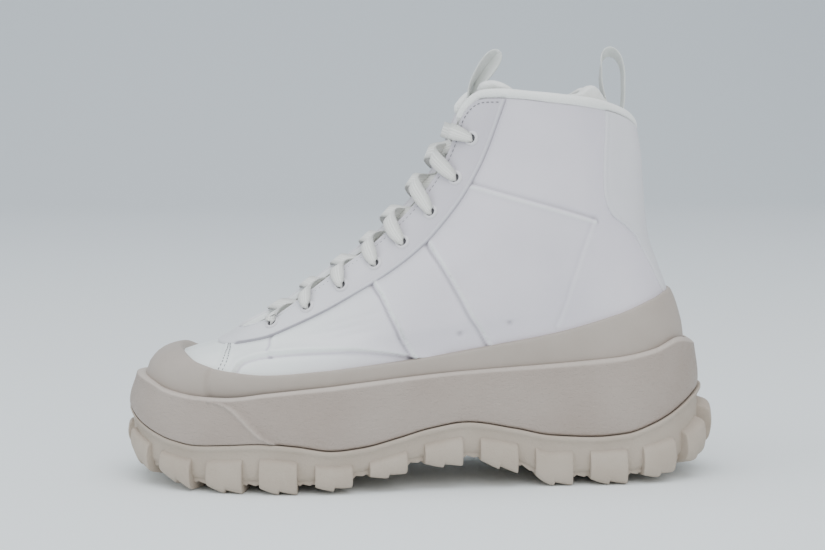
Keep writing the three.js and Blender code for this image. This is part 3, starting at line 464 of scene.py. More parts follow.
def throat_half(level):
    """The same with a round end at its foot and a quarter of an ellipse at the collar's corner."""
    t = (level - THROAT_START) / (1 - THROAT_START)
    foot = np.sqrt(1 - np.clip(1 - t / 0.11, 0, 1) ** 2)
    corner = COLLAR_CORNER * (1 - np.sqrt(1 - np.clip(1 - (1 - t) / CORNER_SHARE, 0, 1) ** 2))
    return throat_side(level) * foot + corner


def around_at_half(level, half, side):
    """Where a section comes to a distance from the middle line on its front half, by halving."""
    level, half = np.broadcast_arrays(np.asarray(level, float), np.asarray(half, float))
    low, high = np.full(level.shape, 0.5), np.ones(level.shape)
    for _ in range(26):
        middle = (low + high) / 2
        apart = np.abs(last_point(side * middle, level)[..., 1] - last_point(1, level)[..., 1]) > half
        low, high = np.where(apart, middle, low), np.where(apart, high, middle)
    return side * low


def share_to_around(share):
    return np.arccos(1 - 2 * np.clip(1 - share, 0, 1)) / np.pi


def throat_around(level, widen=0.0):
    """The way round to the throat's edge at a level: 1, the front line, below the throat."""
    level = np.asarray(level, float)
    edge = around_at_half(level, throat_half(np.maximum(level, THROAT_START)) + widen, 1)
    return np.where(level > THROAT_START, edge, 1.0)


def throat_hollow(around, level):
    """How far under the last a thing comes that lies flat across the throat: the height of the last's
    surface over the line between the throat's two edges."""
    edge = last_point(around_at_half(level, throat_side(level), 1), level)
    side_view = np.array([1, 0, 1])
    out = unit(last_normal(1.0, level) * side_view)
    rise = ((last_point(around, level) - edge) * side_view * out).sum(-1)
    return np.maximum(0, rise) * ease((level - 0.42) / 0.06)


def path_on_last(points, step=0.8):
    """A path of (level, around) as a dense smooth line of both, about evenly spaced."""
    points = np.array(points, float)
    along = np.linspace(0, 1, len(points))
    place = last_point(points[:, 1], points[:, 0])
    length = np.linalg.norm(np.diff(place, axis=0), axis=1).sum()
    t = np.linspace(0, 1, max(8, int(length / step)))
    level = curve(np.column_stack([along, points[:, 0]]))(t)
    around = curve(np.column_stack([along, points[:, 1]]))(t)
    return level, around


def line_distance(points, level, around):
    """Distance of each point to a path on the last, and on which side it lies: 1 before, towards the toe, -1
    behind."""
    place = last_point(around, level)
    tangent = unit(np.gradient(place, axis=0))
    across = unit(np.cross(last_normal(around, level), tangent))
    flat = points.reshape(-1, 3)
    distance = np.full(len(flat), 1e3)
    side = np.ones(len(flat))
    low, high = place.min(0) - 8, place.max(0) + 8
    near = np.where(((flat > low) & (flat < high)).all(1))[0]
    for part in np.array_split(near, max(1, len(near) // 4000)):
        apart = flat[part][:, None] - place[None]
        nearest = (apart**2).sum(-1).argmin(1)
        offset = flat[part] - place[nearest]
        distance[part] = np.linalg.norm(offset, axis=1)
        side[part] = np.sign((offset * across[nearest]).sum(1))
    return distance.reshape(points.shape[:-1]), side.reshape(points.shape[:-1])


def fold(points, start, end, width):
    """A soft stroke from one place on the last to another: a Gaussian across, fading out along its ends."""
    a, b = last_point(start[1], start[0]), last_point(end[1], end[0])
    along = b - a
    t = ((points - a) @ along) / (along @ along)
    offset = points - a - np.clip(t, 0, 1)[..., None] * along
    return np.exp(-(np.linalg.norm(offset, axis=-1) / width) ** 2) * np.exp(-(((t - 0.5) / 0.55) ** 2))


def grid_faces(rows, columns, start, wrap_columns, wrap_rows):
    """Four corners for each cell of a grid of points, joined round where it closes on itself."""
    down_to = rows if wrap_rows else rows - 1
    right_to = columns if wrap_columns else columns - 1
    i, j = np.meshgrid(np.arange(down_to), np.arange(right_to), indexing="ij")
    right, down = (j + 1) % columns, (i + 1) % rows
    quads = np.stack([i * columns + j, i * columns + right, down * columns + right, down * columns + j], -1)
    return quads.reshape(-1, 4) + start


class Piece:
    """Grids of points gathered into one mesh."""

    def __init__(self, name):
        self.name = name
        self.points, self.faces, self.uvs, self.slots, self.tones = [], [], [], [], []
        self.count = 0

    def grid(self, points, uv=None, slot=0, wrap_columns=False, wrap_rows=False, flip=False, tone=None):
        """Adds a grid of rows x columns points, or several of them with one more axis in front."""
        if points.ndim == 4:
            for one in points:
                self.grid(one, uv, slot, wrap_columns, wrap_rows, flip)
            return self
        rows, columns = points.shape[:2]
        faces = grid_faces(rows, columns, self.count, wrap_columns, wrap_rows)
        if uv is None:
            v, u = np.meshgrid(np.linspace(0, 1, rows), np.linspace(0, 1, columns), indexing="ij")
            uv = np.stack([u, v], -1)
        self.points.append(points.reshape(-1, 3))
        self.uvs.append(uv.reshape(-1, 2))
        self.tones.append((np.zeros(rows * columns) if tone is None else tone.reshape(-1)))
        self.faces.append(faces[:, ::-1] if flip else faces)
        self.slots.append(np.full(len(faces), slot))
        self.count += rows * columns
        return self

    def build(self, materials, replaces=(), outward=True, tone_name=None):
        points = np.concatenate(self.points) * 0.001
        faces = np.concatenate(self.faces)
        uvs = np.concatenate(self.uvs)
        mesh = bpy.data.meshes.new(self.name)
        mesh.vertices.add(len(points))
        mesh.vertices.foreach_set("co", points.ravel())
        mesh.loops.add(len(faces) * 4)
        mesh.loops.foreach_set("vertex_index", faces.ravel())
        mesh.polygons.add(len(faces))
        mesh.polygons.foreach_set("loop_start", np.arange(len(faces)) * 4)
        mesh.polygons.foreach_set("material_index", np.concatenate(self.slots))
        layer = mesh.uv_layers.new(name="UVMap")
        layer.data.foreach_set("uv", uvs[faces.ravel()].ravel())
        mesh.update(calc_edges=True)
        if tone_name:
            attribute = mesh.attributes.new(tone_name, "FLOAT", "POINT")
            attribute.data.foreach_set("value", np.concatenate(self.tones).astype(np.float32))
        work = bmesh.new()
        work.from_mesh(mesh)
        bmesh.ops.remove_doubles(work, verts=work.verts, dist=1e-6)
        bmesh.ops.dissolve_degenerate(work, edges=work.edges, dist=1e-7)
        if outward:
            bmesh.ops.recalc_face_normals(work, faces=work.faces)
        work.to_mesh(mesh)
        work.free()
        mesh.polygons.foreach_set("use_smooth", np.ones(len(mesh.polygons), bool))
        for material in materials:
            mesh.materials.append(material)
        piece = bpy.data.objects.new(self.name, mesh)
        bpy.context.scene.collection.objects.link(piece)
        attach(piece, "root")
        if replaces:
            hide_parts(*replaces)
        return piece


# Materials


def linear(hex_colour):
    """sRGB hex to a linear colour."""
    values = [int(hex_colour[k : k + 2], 16) / 255 for k in (1, 3, 5)]
    return tuple([v / 12.92 if v <= 0.04045 else ((v + 0.055) / 1.055) ** 2.4 for v in values] + [1.0])


def node(tree, kind, settings=None, links=None):
    """Adds a node. Settings set its properties, its inputs and, as stops of (position, hex), a ramp's
    colours. Links join its inputs, by name or number, to other nodes' outputs."""
    made = tree.nodes.new(kind)
    for key, value in (settings or {}).items():
        if key == "stops":
            elements = made.color_ramp.elements
            while len(elements) < len(value):
                elements.new(0.5)
            for element, (position, colour) in zip(elements, value):
                element.position = position
                element.color = linear(colour)
        elif key in made.inputs:
            made.inputs[key].default_value = value
        else:
            setattr(made, key, value)
    for key, source in (links or {}).items():
        tree.links.new(source, made.inputs[key])
    return made


def new_material(name, base, roughness, **sockets):
    """A Principled material with its even values on its own sockets."""
    material = bpy.data.materials.new(name)
    material.use_nodes = True
    tree = material.node_tree
    shader = tree.nodes["Principled BSDF"]
    shader.inputs["Base Color"].default_value = linear(base)
    shader.inputs["Roughness"].default_value = roughness
    for key, value in sockets.items():
        shader.inputs[key.replace("_", " ")].default_value = value
    return material, tree, shader


def join_bump(tree, shader, heights):
    """Chains bump nodes, each from a height output with its distance in millimetres and strength."""
    normal = None
    for height, distance, strength in heights:
        links = {"Height": height, "Normal": normal} if normal else {"Height": height}
        bump = node(tree, "ShaderNodeBump", {"Distance": distance * 0.001, "Strength": strength}, links)
        normal = bump.outputs["Normal"]
    tree.links.new(normal, shader.inputs["Normal"])


def two_tone_leather(name, base, roughness, cool, bright, grain_size, **sockets):
    """Leather with two clouded tones: the mesh's tone attribute leads from the cool one at 0 to the bright
    one at 1, and from 0 down to -1 into a grey of painted shade."""
    material, tree, shader = new_material(name, base, roughness, **sockets)
    place = node(tree, "ShaderNodeTexCoord").outputs["Object"]
    # Real grain is about 0.4 mm across and is drawn at about twice that so that it shows; wrinkles are 5 mm
    grain = node(tree, "ShaderNodeTexVoronoi", {"Scale": 1000 / grain_size}, {"Vector": place})
    drift = node(tree, "ShaderNodeTexNoise", {"Scale": 1000 / 45, "Detail": 3.0}, {"Vector": place})
    fine = {"Scale": 1000 / 5, "Detail": 4.0, "Roughness": 0.6}
    wrinkle = node(tree, "ShaderNodeTexNoise", fine, {"Vector": place})
    tone = node(tree, "ShaderNodeAttribute", {"attribute_name": "tone"})
    clouded = {"Fac": drift.outputs["Fac"]}
    low = node(tree, "ShaderNodeValToRGB", {"stops": [(0.3, cool[0]), (0.7, cool[1])]}, clouded)
    high = node(tree, "ShaderNodeValToRGB", {"stops": [(0.3, bright[0]), (0.7, bright[1])]}, clouded)
    blend = {"Factor": tone.outputs["Fac"], 6: low.outputs["Color"], 7: high.outputs["Color"]}
    both = node(tree, "ShaderNodeMix", {"data_type": "RGBA"}, blend)
    # Painted shade: a tone below 0 takes the colour down towards a grey, in grooves, dents and at the
    # eyestay's seam
    painted_shade_range = {"From Min": 0.0, "From Max": -1.0}
    painted_shade = node(tree, "ShaderNodeMapRange", painted_shade_range, {"Value": tone.outputs["Fac"]})
    grey = {"data_type": "RGBA", "blend_type": "MULTIPLY"}
    shaded_colour = node(tree, "ShaderNodeMix", grey, {"Factor": painted_shade.outputs["Result"], 6: both.outputs[2]})
    shaded_colour.inputs[7].default_value = linear("#8F8D93")
    tree.links.new(shaded_colour.outputs[2], shader.inputs["Base Color"])
    limits = {"From Min": 0.3, "From Max": 0.7, "To Min": roughness - 0.05, "To Max": roughness + 0.05}
    worn = node(tree, "ShaderNodeMapRange", limits, {"Value": drift.outputs["Fac"]})
    tree.links.new(worn.outputs["Result"], shader.inputs["Roughness"])
    join_bump(tree, shader, [(wrinkle.outputs["Fac"], 0.5, 0.16), (grain.outputs["Distance"], 0.12, 0.3)])
    return material


def coated_leather():
    """Smooth coated leather, buffed and lightly sprayed: a tight shallow grain under a satin coat. The eye
    sees a faint sheen and clouding, lilac on the shaft and a bright minty white over the toe."""
    cool, bright = ("#DCD8E1", "#E4E0E8"), ("#F4FAF8", "#FAFEFC")
    sockets = {"Coat_Weight": 0.12, "Coat_Roughness": 0.35}
    return two_tone_leather("coated_leather", "#E4E3E8", 0.5, cool, bright, 0.9, **sockets)


def overlay_leather():
    """The same leather pressed flat in the overlays' welding tool: a little smoother, so it looks a touch
    greyer beside the shell."""
    cool, bright = ("#C8C4CD", "#CFCBD3"), ("#E4E5E8", "#EBEBEE")
    sockets = {"Coat_Weight": 0.15, "Coat_Roughness": 0.3}
    return two_tone_leather("pressed_leather", "#E0DFE3", 0.46, cool, bright, 0.8, **sockets)


def knit_fabric(name, base, pitch):
    """Fine knitted lining or binding: rows of small loops that catch the light, matte with a soft fuzz at
    grazing angles."""
    material, tree, shader = new_material(name, base, 0.9, Sheen_Weight=0.25, Sheen_Roughness=0.5)
    place = node(tree, "ShaderNodeTexCoord").outputs["Object"]
    # The pitch is about twice a real loop's, so that the knit shows
    loops = node(tree, "ShaderNodeTexVoronoi", {"Scale": 1000 / pitch}, {"Vector": place})
    fuzz = node(tree, "ShaderNodeTexNoise", {"Scale": 1000 / 12, "Detail": 3.0}, {"Vector": place})
    stops = {"stops": [(0.3, base), (0.7, "#F8F9F6")]}
    shade = node(tree, "ShaderNodeValToRGB", stops, {"Fac": fuzz.outputs["Fac"]})
    tree.links.new(shade.outputs["Color"], shader.inputs["Base Color"])
    join_bump(tree, shader, [(fuzz.outputs["Fac"], 0.8, 0.2), (loops.outputs["Distance"], 0.35, 0.6)])
    return material


def foxing_rubber():
    """Foxing rubber, calendered and pressed in a smooth mould: satin taupe with faint clouding and a very
    fine tooth, so its highlights are broad and soft."""
    material, tree, shader = new_material("foxing_rubber", "#AFA49C", 0.52, Specular_IOR_Level=0.45)
    place = node(tree, "ShaderNodeTexCoord").outputs["Object"]
    # The clouding is about 30 mm broad, and the tooth is drawn at 0.8 mm so that it shows
    broad = {"Scale": 1000 / 30, "Detail": 4.0, "Roughness": 0.6}
    cloud = node(tree, "ShaderNodeTexNoise", broad, {"Vector": place})
    tooth = node(tree, "ShaderNodeTexNoise", {"Scale": 1000 / 0.8, "Detail": 2.0}, {"Vector": place})
    stops = {"stops": [(0.3, "#A99F95"), (0.7, "#B1A79E")]}
    shade = node(tree, "ShaderNodeValToRGB", stops, {"Fac": cloud.outputs["Fac"]})
    tree.links.new(shade.outputs["Color"], shader.inputs["Base Color"])
    limits = {"From Min": 0.3, "From Max": 0.7, "To Min": 0.48, "To Max": 0.6}
    worn = node(tree, "ShaderNodeMapRange", limits, {"Value": cloud.outputs["Fac"]})
    tree.links.new(worn.outputs["Result"], shader.inputs["Roughness"])
    join_bump(tree, shader, [(cloud.outputs["Fac"], 0.8, 0.15), (tooth.outputs["Fac"], 0.08, 0.35)])
    return material


def midsole_foam():
    """Foam pressed in a mould with a leather grain: fine wrinkles lying along the sole, paler where the
    mesh's attribute paints a highlight, with a soft shine on edges."""
    material, tree, shader = new_material("moulded_foam", "#A99D93", 0.56, Specular_IOR_Level=0.45)
    place = node(tree, "ShaderNodeTexCoord").outputs["Object"]
    lying = node(tree, "ShaderNodeMapping", {"Scale": (1.0, 1.0, 1.9)}, {"Vector": place})
    squeezed = lying.outputs["Vector"]
    # The wrinkles are about 2 mm apart, and the pores between them are drawn at 1.3 mm so that they show
    fine = {"Scale": 1000 / 2.6, "Detail": 5.0, "Roughness": 0.62}
    wrinkle = node(tree, "ShaderNodeTexNoise", fine, {"Vector": squeezed})
    grain = node(tree, "ShaderNodeTexVoronoi", {"Scale": 1000 / 1.3}, {"Vector": squeezed})
    cloud = node(tree, "ShaderNodeTexNoise", {"Scale": 1000 / 36, "Detail": 3.0}, {"Vector": place})
    stops = {"stops": [(0.3, "#A2958B"), (0.7, "#AA9F96")]}
    shade = node(tree, "ShaderNodeValToRGB", stops, {"Fac": cloud.outputs["Fac"]})
    # Painted highlight: the mesh's attribute takes the colour towards a pale one
    rubbed = node(tree, "ShaderNodeAttribute", {"attribute_name": "rubbed"})
    highlight_blend = {"Factor": rubbed.outputs["Fac"], 6: shade.outputs["Color"]}
    highlighted_foam = node(tree, "ShaderNodeMix", {"data_type": "RGBA"}, highlight_blend)
    highlighted_foam.inputs[7].default_value = linear("#D9D0C6")
    tree.links.new(highlighted_foam.outputs[2], shader.inputs["Base Color"])
    limits = {"From Min": 0.35, "From Max": 0.65, "To Min": 0.46, "To Max": 0.64}
    worn = node(tree, "ShaderNodeMapRange", limits, {"Value": wrinkle.outputs["Fac"]})
    tree.links.new(worn.outputs["Result"], shader.inputs["Roughness"])
    join_bump(tree, shader, [(wrinkle.outputs["Fac"], 0.8, 0.85), (grain.outputs["Distance"], 0.2, 0.6)])
    return material


def outsole_rubber():
    """Outsole rubber from a sand-blasted mould: matte, a little warmer and sandier than the foam."""
    material, tree, shader = new_material("outsole_rubber", "#B6AA9C", 0.78, Specular_IOR_Level=0.35)
    place = node(tree, "ShaderNodeTexCoord").outputs["Object"]
    # The mould's sand is about 0.3 mm, and is drawn at 1.1 mm so that it shows
    blasted = {"Scale": 1000 / 1.1, "Detail": 3.0, "Roughness": 0.7}
    sand = node(tree, "ShaderNodeTexNoise", blasted, {"Vector": place})
    cloud = node(tree, "ShaderNodeTexNoise", {"Scale": 1000 / 24, "Detail": 3.0}, {"Vector": place})
    stops = {"stops": [(0.3, "#B0A496"), (0.7, "#B8ADA0")]}
    shade = node(tree, "ShaderNodeValToRGB", stops, {"Fac": cloud.outputs["Fac"]})
    tree.links.new(shade.outputs["Color"], shader.inputs["Base Color"])
    join_bump(tree, shader, [(sand.outputs["Fac"], 0.4, 0.9)])
    return material


def woven_lace():
    """Flat lace woven from bulky polyester yarn: ribs along it and a slanted twill between them, which read
    as a fine matte weave. Its UV map has turns round the band as u and millimetres along it as v."""
    sockets = {"Sheen_Weight": 0.3, "Sheen_Roughness": 0.45}
    material, tree, shader = new_material("woven_lace", "#F1F1EC", 0.88, **sockets)
    uv = node(tree, "ShaderNodeTexCoord").outputs["UV"]
    # A wave repeats every 0.314 of its input: ribs about 0.4 mm apart, and twill 0.35 mm along the lace
    slanted = node(tree, "ShaderNodeMapping", {"Scale": (10.0, 0.9, 1.0)}, {"Vector": uv}).outputs["Vector"]
    twill = {"Scale": 1.0, "Distortion": 0.4, "wave_profile": "SIN", "bands_direction": "DIAGONAL"}
    cords = node(tree, "ShaderNodeTexWave", twill, {"Vector": slanted})
    ribs = node(tree, "ShaderNodeMapping", {"Scale": (14.0, 0.0, 1.0)}, {"Vector": uv}).outputs["Vector"]
    rows = node(tree, "ShaderNodeTexWave", {"Scale": 1.0, "bands_direction": "X"}, {"Vector": ribs})
    stops = {"stops": [(0.0, "#E6E6E0"), (0.6, "#F5F5F0")]}
    shade = node(tree, "ShaderNodeValToRGB", stops, {"Fac": rows.outputs["Fac"]})
    tree.links.new(shade.outputs["Color"], shader.inputs["Base Color"])
    join_bump(tree, shader, [(rows.outputs["Fac"], 0.25, 0.7), (cords.outputs["Fac"], 0.12, 0.5)])
    return material


def ribbon_webbing():
    """Thin ribbon woven from smooth yarn: fine picks across it and a slight gloss, with light showing
    through."""
    sockets = {"Sheen_Weight": 0.3, "Transmission_Weight": 0.12}
    material, tree, shader = new_material("ribbon_webbing", "#F0F4F0", 0.6, **sockets)
    uv = node(tree, "ShaderNodeTexCoord").outputs["UV"]
    # Picks about 0.14 mm apart, as in fine ribbon
    along = node(tree, "ShaderNodeMapping", {"Scale": (0.0, 2.2, 1.0)}, {"Vector": uv}).outputs["Vector"]
    picks = node(tree, "ShaderNodeTexWave", {"Scale": 1.0, "bands_direction": "Y"}, {"Vector": along})
    stops = {"stops": [(0.0, "#EAEEEA"), (0.7, "#F5F8F4")]}
    shade = node(tree, "ShaderNodeValToRGB", stops, {"Fac": picks.outputs["Fac"]})
    tree.links.new(shade.outputs["Color"], shader.inputs["Base Color"])
    join_bump(tree, shader, [(picks.outputs["Fac"], 0.15, 0.5)])
    return material


def plain(name, base, roughness, size, depth):
    """An even material with a faint unevenness of its surface, of a size and depth in millimetres."""
    material, tree, shader = new_material(name, base, roughness)
    place = node(tree, "ShaderNodeTexCoord").outputs["Object"]
    uneven = node(tree, "ShaderNodeTexNoise", {"Scale": 1000 / size, "Detail": 2.0}, {"Vector": place})
    join_bump(tree, shader, [(uneven.outputs["Fac"], depth, 0.4)])
    return material


LEATHER = coated_leather()
PRESSED = overlay_leather()
BINDING = knit_fabric("binding_knit", "#F3F5F2", 0.9)
LINING = knit_fabric("lining_mesh", "#E0E1DD", 1.3)
FOXING = foxing_rubber()
FOAM = midsole_foam()
RUBBER = outsole_rubber()
LACE = woven_lace()
WEBBING = ribbon_webbing()
# Injection-moulded nylon: the ring looks like a smooth, slightly shinier spot in the leather
EYELET = plain("moulded_eyelet", "#DDDBDE", 0.42, 3.0, 0.05)
# Painted shade: a dark disc for the unlit inside of the hole, seen as a dark spot beside the lace
PAINTED_BORE_SHADE = plain("painted_bore_shade", "#4A494C", 0.9, 3.0, 0.05)
# Twisted polyester sewing thread, seen as a fine grey dashed line
THREAD = plain("grey_thread", "#77777B", 0.8, 0.6, 0.1)


# The upper


def vamp_tone(points):
    """How far the bright leather of the front has taken over from the cooler shaft, along the foot."""
    return ease((points[..., 0] + 8 + 0.35 * (points[..., 2] - 80)) / 100)


def panel_relief(points):
    """Ridges and small steps along the panel lines on both sides, plus the listed folds, the dents and
    the vamp seam, a low flat band with a groove down its middle. Returns the relief, and the painted
    light: painted shade in the grooves and dents, less than nothing for a painted highlight on a ridge."""
    relief = np.zeros(points.shape[:-1])
    shade = np.zeros(points.shape[:-1])
    for name, line in PANEL_LINES.items():
        ridge, step = PANEL_RELIEF[name]
        for side in (1, -1):
            level, around = path_on_last([(a, side * b) for a, b in line])
            distance, which = line_distance(points, level, around)
            behind = which * side * np.sign(step) < 0
            relief += ridge * np.exp(-(distance**2))
            relief -= 0.45 * ridge * np.exp(-(((distance - 2.2) / 0.9) ** 2)) * behind
            # Painted shade in the groove behind each line and a painted highlight along its ridge, carried in
            # the tone
            shade += GROOVE_SHADE[name] * np.exp(-(((distance - 1.7) / 0.8) ** 2)) * behind
            shade -= 0.5 * ridge * np.exp(-((distance / 0.9) ** 2))
            relief += step * 0.5 * which * side * np.exp(-((distance / 3.4) ** 2)) * ease(distance / 1.4)
    for start, end, depth, width in CREASES:
        for side in (1, -1):
            relief -= depth * fold(points, (start[0], side * start[1]), (end[0], side * end[1]), width)
    for level, around in DENTS:
        apart = np.linalg.norm(points - last_point(around, level), axis=-1)
        relief -= 1.3 * np.exp(-((apart / 1.3) ** 2))
        # Painted shade in each dent
        shade += 0.45 * np.exp(-((apart / 1.2) ** 2))
    for side in (1, -1):
        level, around = path_on_last([(a, side * b) for a, b in VAMP_SEAM])
        distance, which = line_distance(points, level, around)
        relief += 0.4 * ease((3.2 - distance) / 0.9) - 0.5 * np.exp(-((distance / 0.8) ** 2))
    return relief, np.clip(shade, -1, 1)


def shaded_tone(tone, shade):
    """Painted shade in a groove takes the tone down past the cool one, a painted highlight on a ridge takes
    it up towards the bright one.
    """
    return np.minimum(tone * (1 - np.clip(3 * shade, 0, 1)) - shade, 1)


def upper_shell():
    """The leather shell: rows from under the foxing up to the collar, columns from one edge of the throat
    round the heel to the other, closer on the outer side, with the edges turned in by the wall's
    thickness."""
    columns = np.concatenate([np.linspace(-1, 0, 141)[:-1], np.linspace(0, 1, 321)])
    bottom = level_at(columns, foxing_top_at) - 0.045
    rows = np.linspace(0, 1, 200)[:, None]
    level = bottom[None] + (1 - bottom[None]) * rows
    # Only the front third of the way round draws in to the throat's edge
    drawn = np.clip((np.abs(columns) - 0.66) / 0.34, 0, 1)[None]
    around = columns[None] - np.sign(columns[None]) * drawn * (1 - throat_around(level))
    points = last_point(around, level)
    relief, shade = panel_relief(points)
    normal = last_normal(around, level)
    outer = points + normal * relief[..., None]
    # The tone holds the leather's two colours, with the painted shade of the grooves and the painted
    # highlights of the ridges
    tone = shaded_tone(vamp_tone(points), shade)
    piece = Piece("upper_shell")
    uv = np.stack([around, level], -1)
    piece.grid(outer, uv, tone=tone)
    # The collar's edge and the two edges of the throat, turned in through the wall
    turn = np.array([0.0, -0.5, -1.2, -UPPER_WALL])[:, None, None]
    top = outer[-1][None] + normal[-1][None] * turn
    piece.grid(top, np.repeat(uv[-1][None], 4, 0), tone=np.repeat(tone[-1][None], 4, 0))
    for k in (0, -1):
        side = outer[:, k][None] + normal[:, k][None] * turn
        piece.grid(side, np.repeat(uv[:, k][None], 4, 0), tone=np.repeat(tone[:, k][None], 4, 0))
    return piece.build([LEATHER], ["upper"], tone_name="tone")


def upper_lining():
    """The inside of the shell, down to the footbed."""
    columns = np.linspace(-1, 1, 161)
    level = np.linspace(0.02, 0.998, 60)[:, None] + 0 * columns[None]
    around = columns[None] * throat_around(level)
    piece = Piece("upper_lining")
    piece.grid(skin(around, level, -UPPER_WALL - 0.02 + 0 * level), flip=True)
    return piece.build([LINING], outward=False)


def eyestay():
    """The overlay round the throat: on each side from its seam, where the leather is turned under in a
    raised welt, to the throat's edge, where it rolls over into the wall. A groove for the stitches runs
    inside its rim."""
    piece = Piece("eyestay_overlay")
    level = np.concatenate([np.linspace(0.4035, 0.47, 40), np.linspace(0.473, 0.998, 190)])[:, None]
    seam, edge = share_to_around(eyestay_seam(level)), throat_around(level)
    width = np.linalg.norm(last_point(edge, level) - last_point(seam, level), axis=-1)
    # Distances from the seam and from the throat's edge, with the margin and the painted shade at each
    start = np.array([0, 0.1, 0.45, 0.9, 1.4, 2.0, 2.7, 3.4])
    # Painted light at the seam: painted shade in the groove at its foot, less than nothing for a painted
    # highlight on the welt
    start_shade = np.array([0.5, 0.5, 0.2, -0.5, -0.4, 0, 0, 0])
    start_margin = np.array([-0.2, 0.3, 1.0, 1.7, 2.1, 1.8, 1.2, 0.98])
    # The seam is pressed down hard at its foot, so that the welt has a steep side there
    steep = np.array([0, 0.9, 0.7, 0.2, 0, 0, 0, 0]) * ease((0.6 - level) / 0.1)
    inner = np.array([5.2, 4.4, 3.9, 3.4, 3.0, 2.6, 2.1, 1.5, 0.9, 0.4, 0.1, 0, 0, 0])
    inner_margin = np.array([1.02, 1.0, 0.9, 0.62, 0.55, 0.66, 1.05, 1.3, 1.25, 0.95, 0.5, 0, -1.1])
    inner_margin = np.append(inner_margin, -UPPER_WALL)
    scale = np.minimum(1, width / 9.0)
    from_seam = start[None] * scale / np.maximum(width, 0.01)
    from_edge = 1 - inner[None] * scale / np.maximum(width, 0.01)
    between = mix(from_seam[:, -1:], from_edge[:, :1], np.linspace(0, 1, 28)[None, 1:-1])
    share = np.concatenate([from_seam, between, from_edge], 1)
    margin = np.concatenate([start_margin, np.full(26, 1.0), inner_margin])[None] * np.ones_like(level)
    margin[:, : len(start)] += steep
    # The groove fades out under the collar's corner, where the stitches turn away from the throat
    flat = np.clip(30 * (level - 0.925), 0, 1) * ((share > 0.5) & (share < from_edge[:, 8:9]))
    margin = np.maximum(margin, flat)
    # Below the throat both halves meet on the front line, where nothing rolls over
    closed = level <= THROAT_START
    margin = np.where(closed & (margin < 1.02) & (share > 0.5), 1.02, margin)
    margin = margin * ease((level - 0.402) / 0.006)
    for side in (1, -1):
        around = side * mix(seam, edge, share)
        points = skin(around, level, margin)
        shade = np.zeros(share.shape[1])
        shade[: len(start)] = start_shade
        tone = shaded_tone(vamp_tone(points), shade[None])
        piece.grid(points, np.stack([around, level + 0 * around], -1), tone=tone, flip=side < 0)
    return piece.build([PRESSED], ["eyestay"], tone_name="tone")


def heel_tab():
    """The overlay up the back of the shaft: full in its middle, its sides rounded down on the shell, with
    a shallow line pressed along them."""
    start = float(level_at(np.zeros(1), foxing_top_at)[0]) - 0.03
    level = np.linspace(start, 0.998, 110)[:, None]
    half = heel_tab_edge(level)
    width = np.linalg.norm(last_point(half, level) - last_point(0, level), axis=-1)
    soft = np.array([0, 0, 0.2, 0.55, 1.2, 1.7, 2.1, 2.5, 3.0])
    fullness = np.array([-0.3, 0.35, 0.7, 0.95, 1.02, 0.85, 0.7, 0.85, 0.92])
    near = 1 - soft[None] / width
    middle = np.linspace(-1, 1, 50)[None, 1:-1] * near[:, -1:]
    k = np.concatenate([-near, middle, near[:, ::-1]], 1)
    margin = np.concatenate([fullness, np.full(48, 0.92), fullness[::-1]])[None] + 0 * k
    around = k * half
    points = skin(around, level, margin)
    piece = Piece("heel_tab_overlay")
    piece.grid(points, np.stack([around, level + 0 * around], -1), tone=np.full_like(around, 0.7))
    return piece.build([PRESSED], ["heel_tab"], tone_name="tone")


def tube(points, sideways, up, half_width, half_height, squareness=1.0, count=16):
    """A closed band along a path: a superellipse in each cross plane, drawn together at both ends."""
    turn = np.linspace(0, 2 * np.pi, count, endpoint=False)
    c, s = np.cos(turn), np.sin(turn)
    across = np.sign(c) * np.abs(c) ** squareness
    over = np.sign(s) * np.abs(s) ** squareness
    rings = (
        points[:, None]
        + sideways[:, None] * (across[None] * half_width[:, None])[..., None]
        + up[:, None] * (over[None] * half_height[:, None])[..., None]
    )
    ends = [np.repeat(points[k][None, None], count, 1) for k in (0, -1)]
    return np.concatenate([ends[0], rings, ends[1]])


def length_uv(points, count):
    """UV for a tube: round it in turns, and along it in millimetres."""
    steps = np.linalg.norm(np.diff(points, axis=0), axis=1)
    along = np.concatenate([[0], np.cumsum(steps)])
    along = np.concatenate([along[:1], along, along[-1:]])
    u = np.arange(count) / count
    return np.stack(np.broadcast_arrays(u[None], along[:, None]), -1)


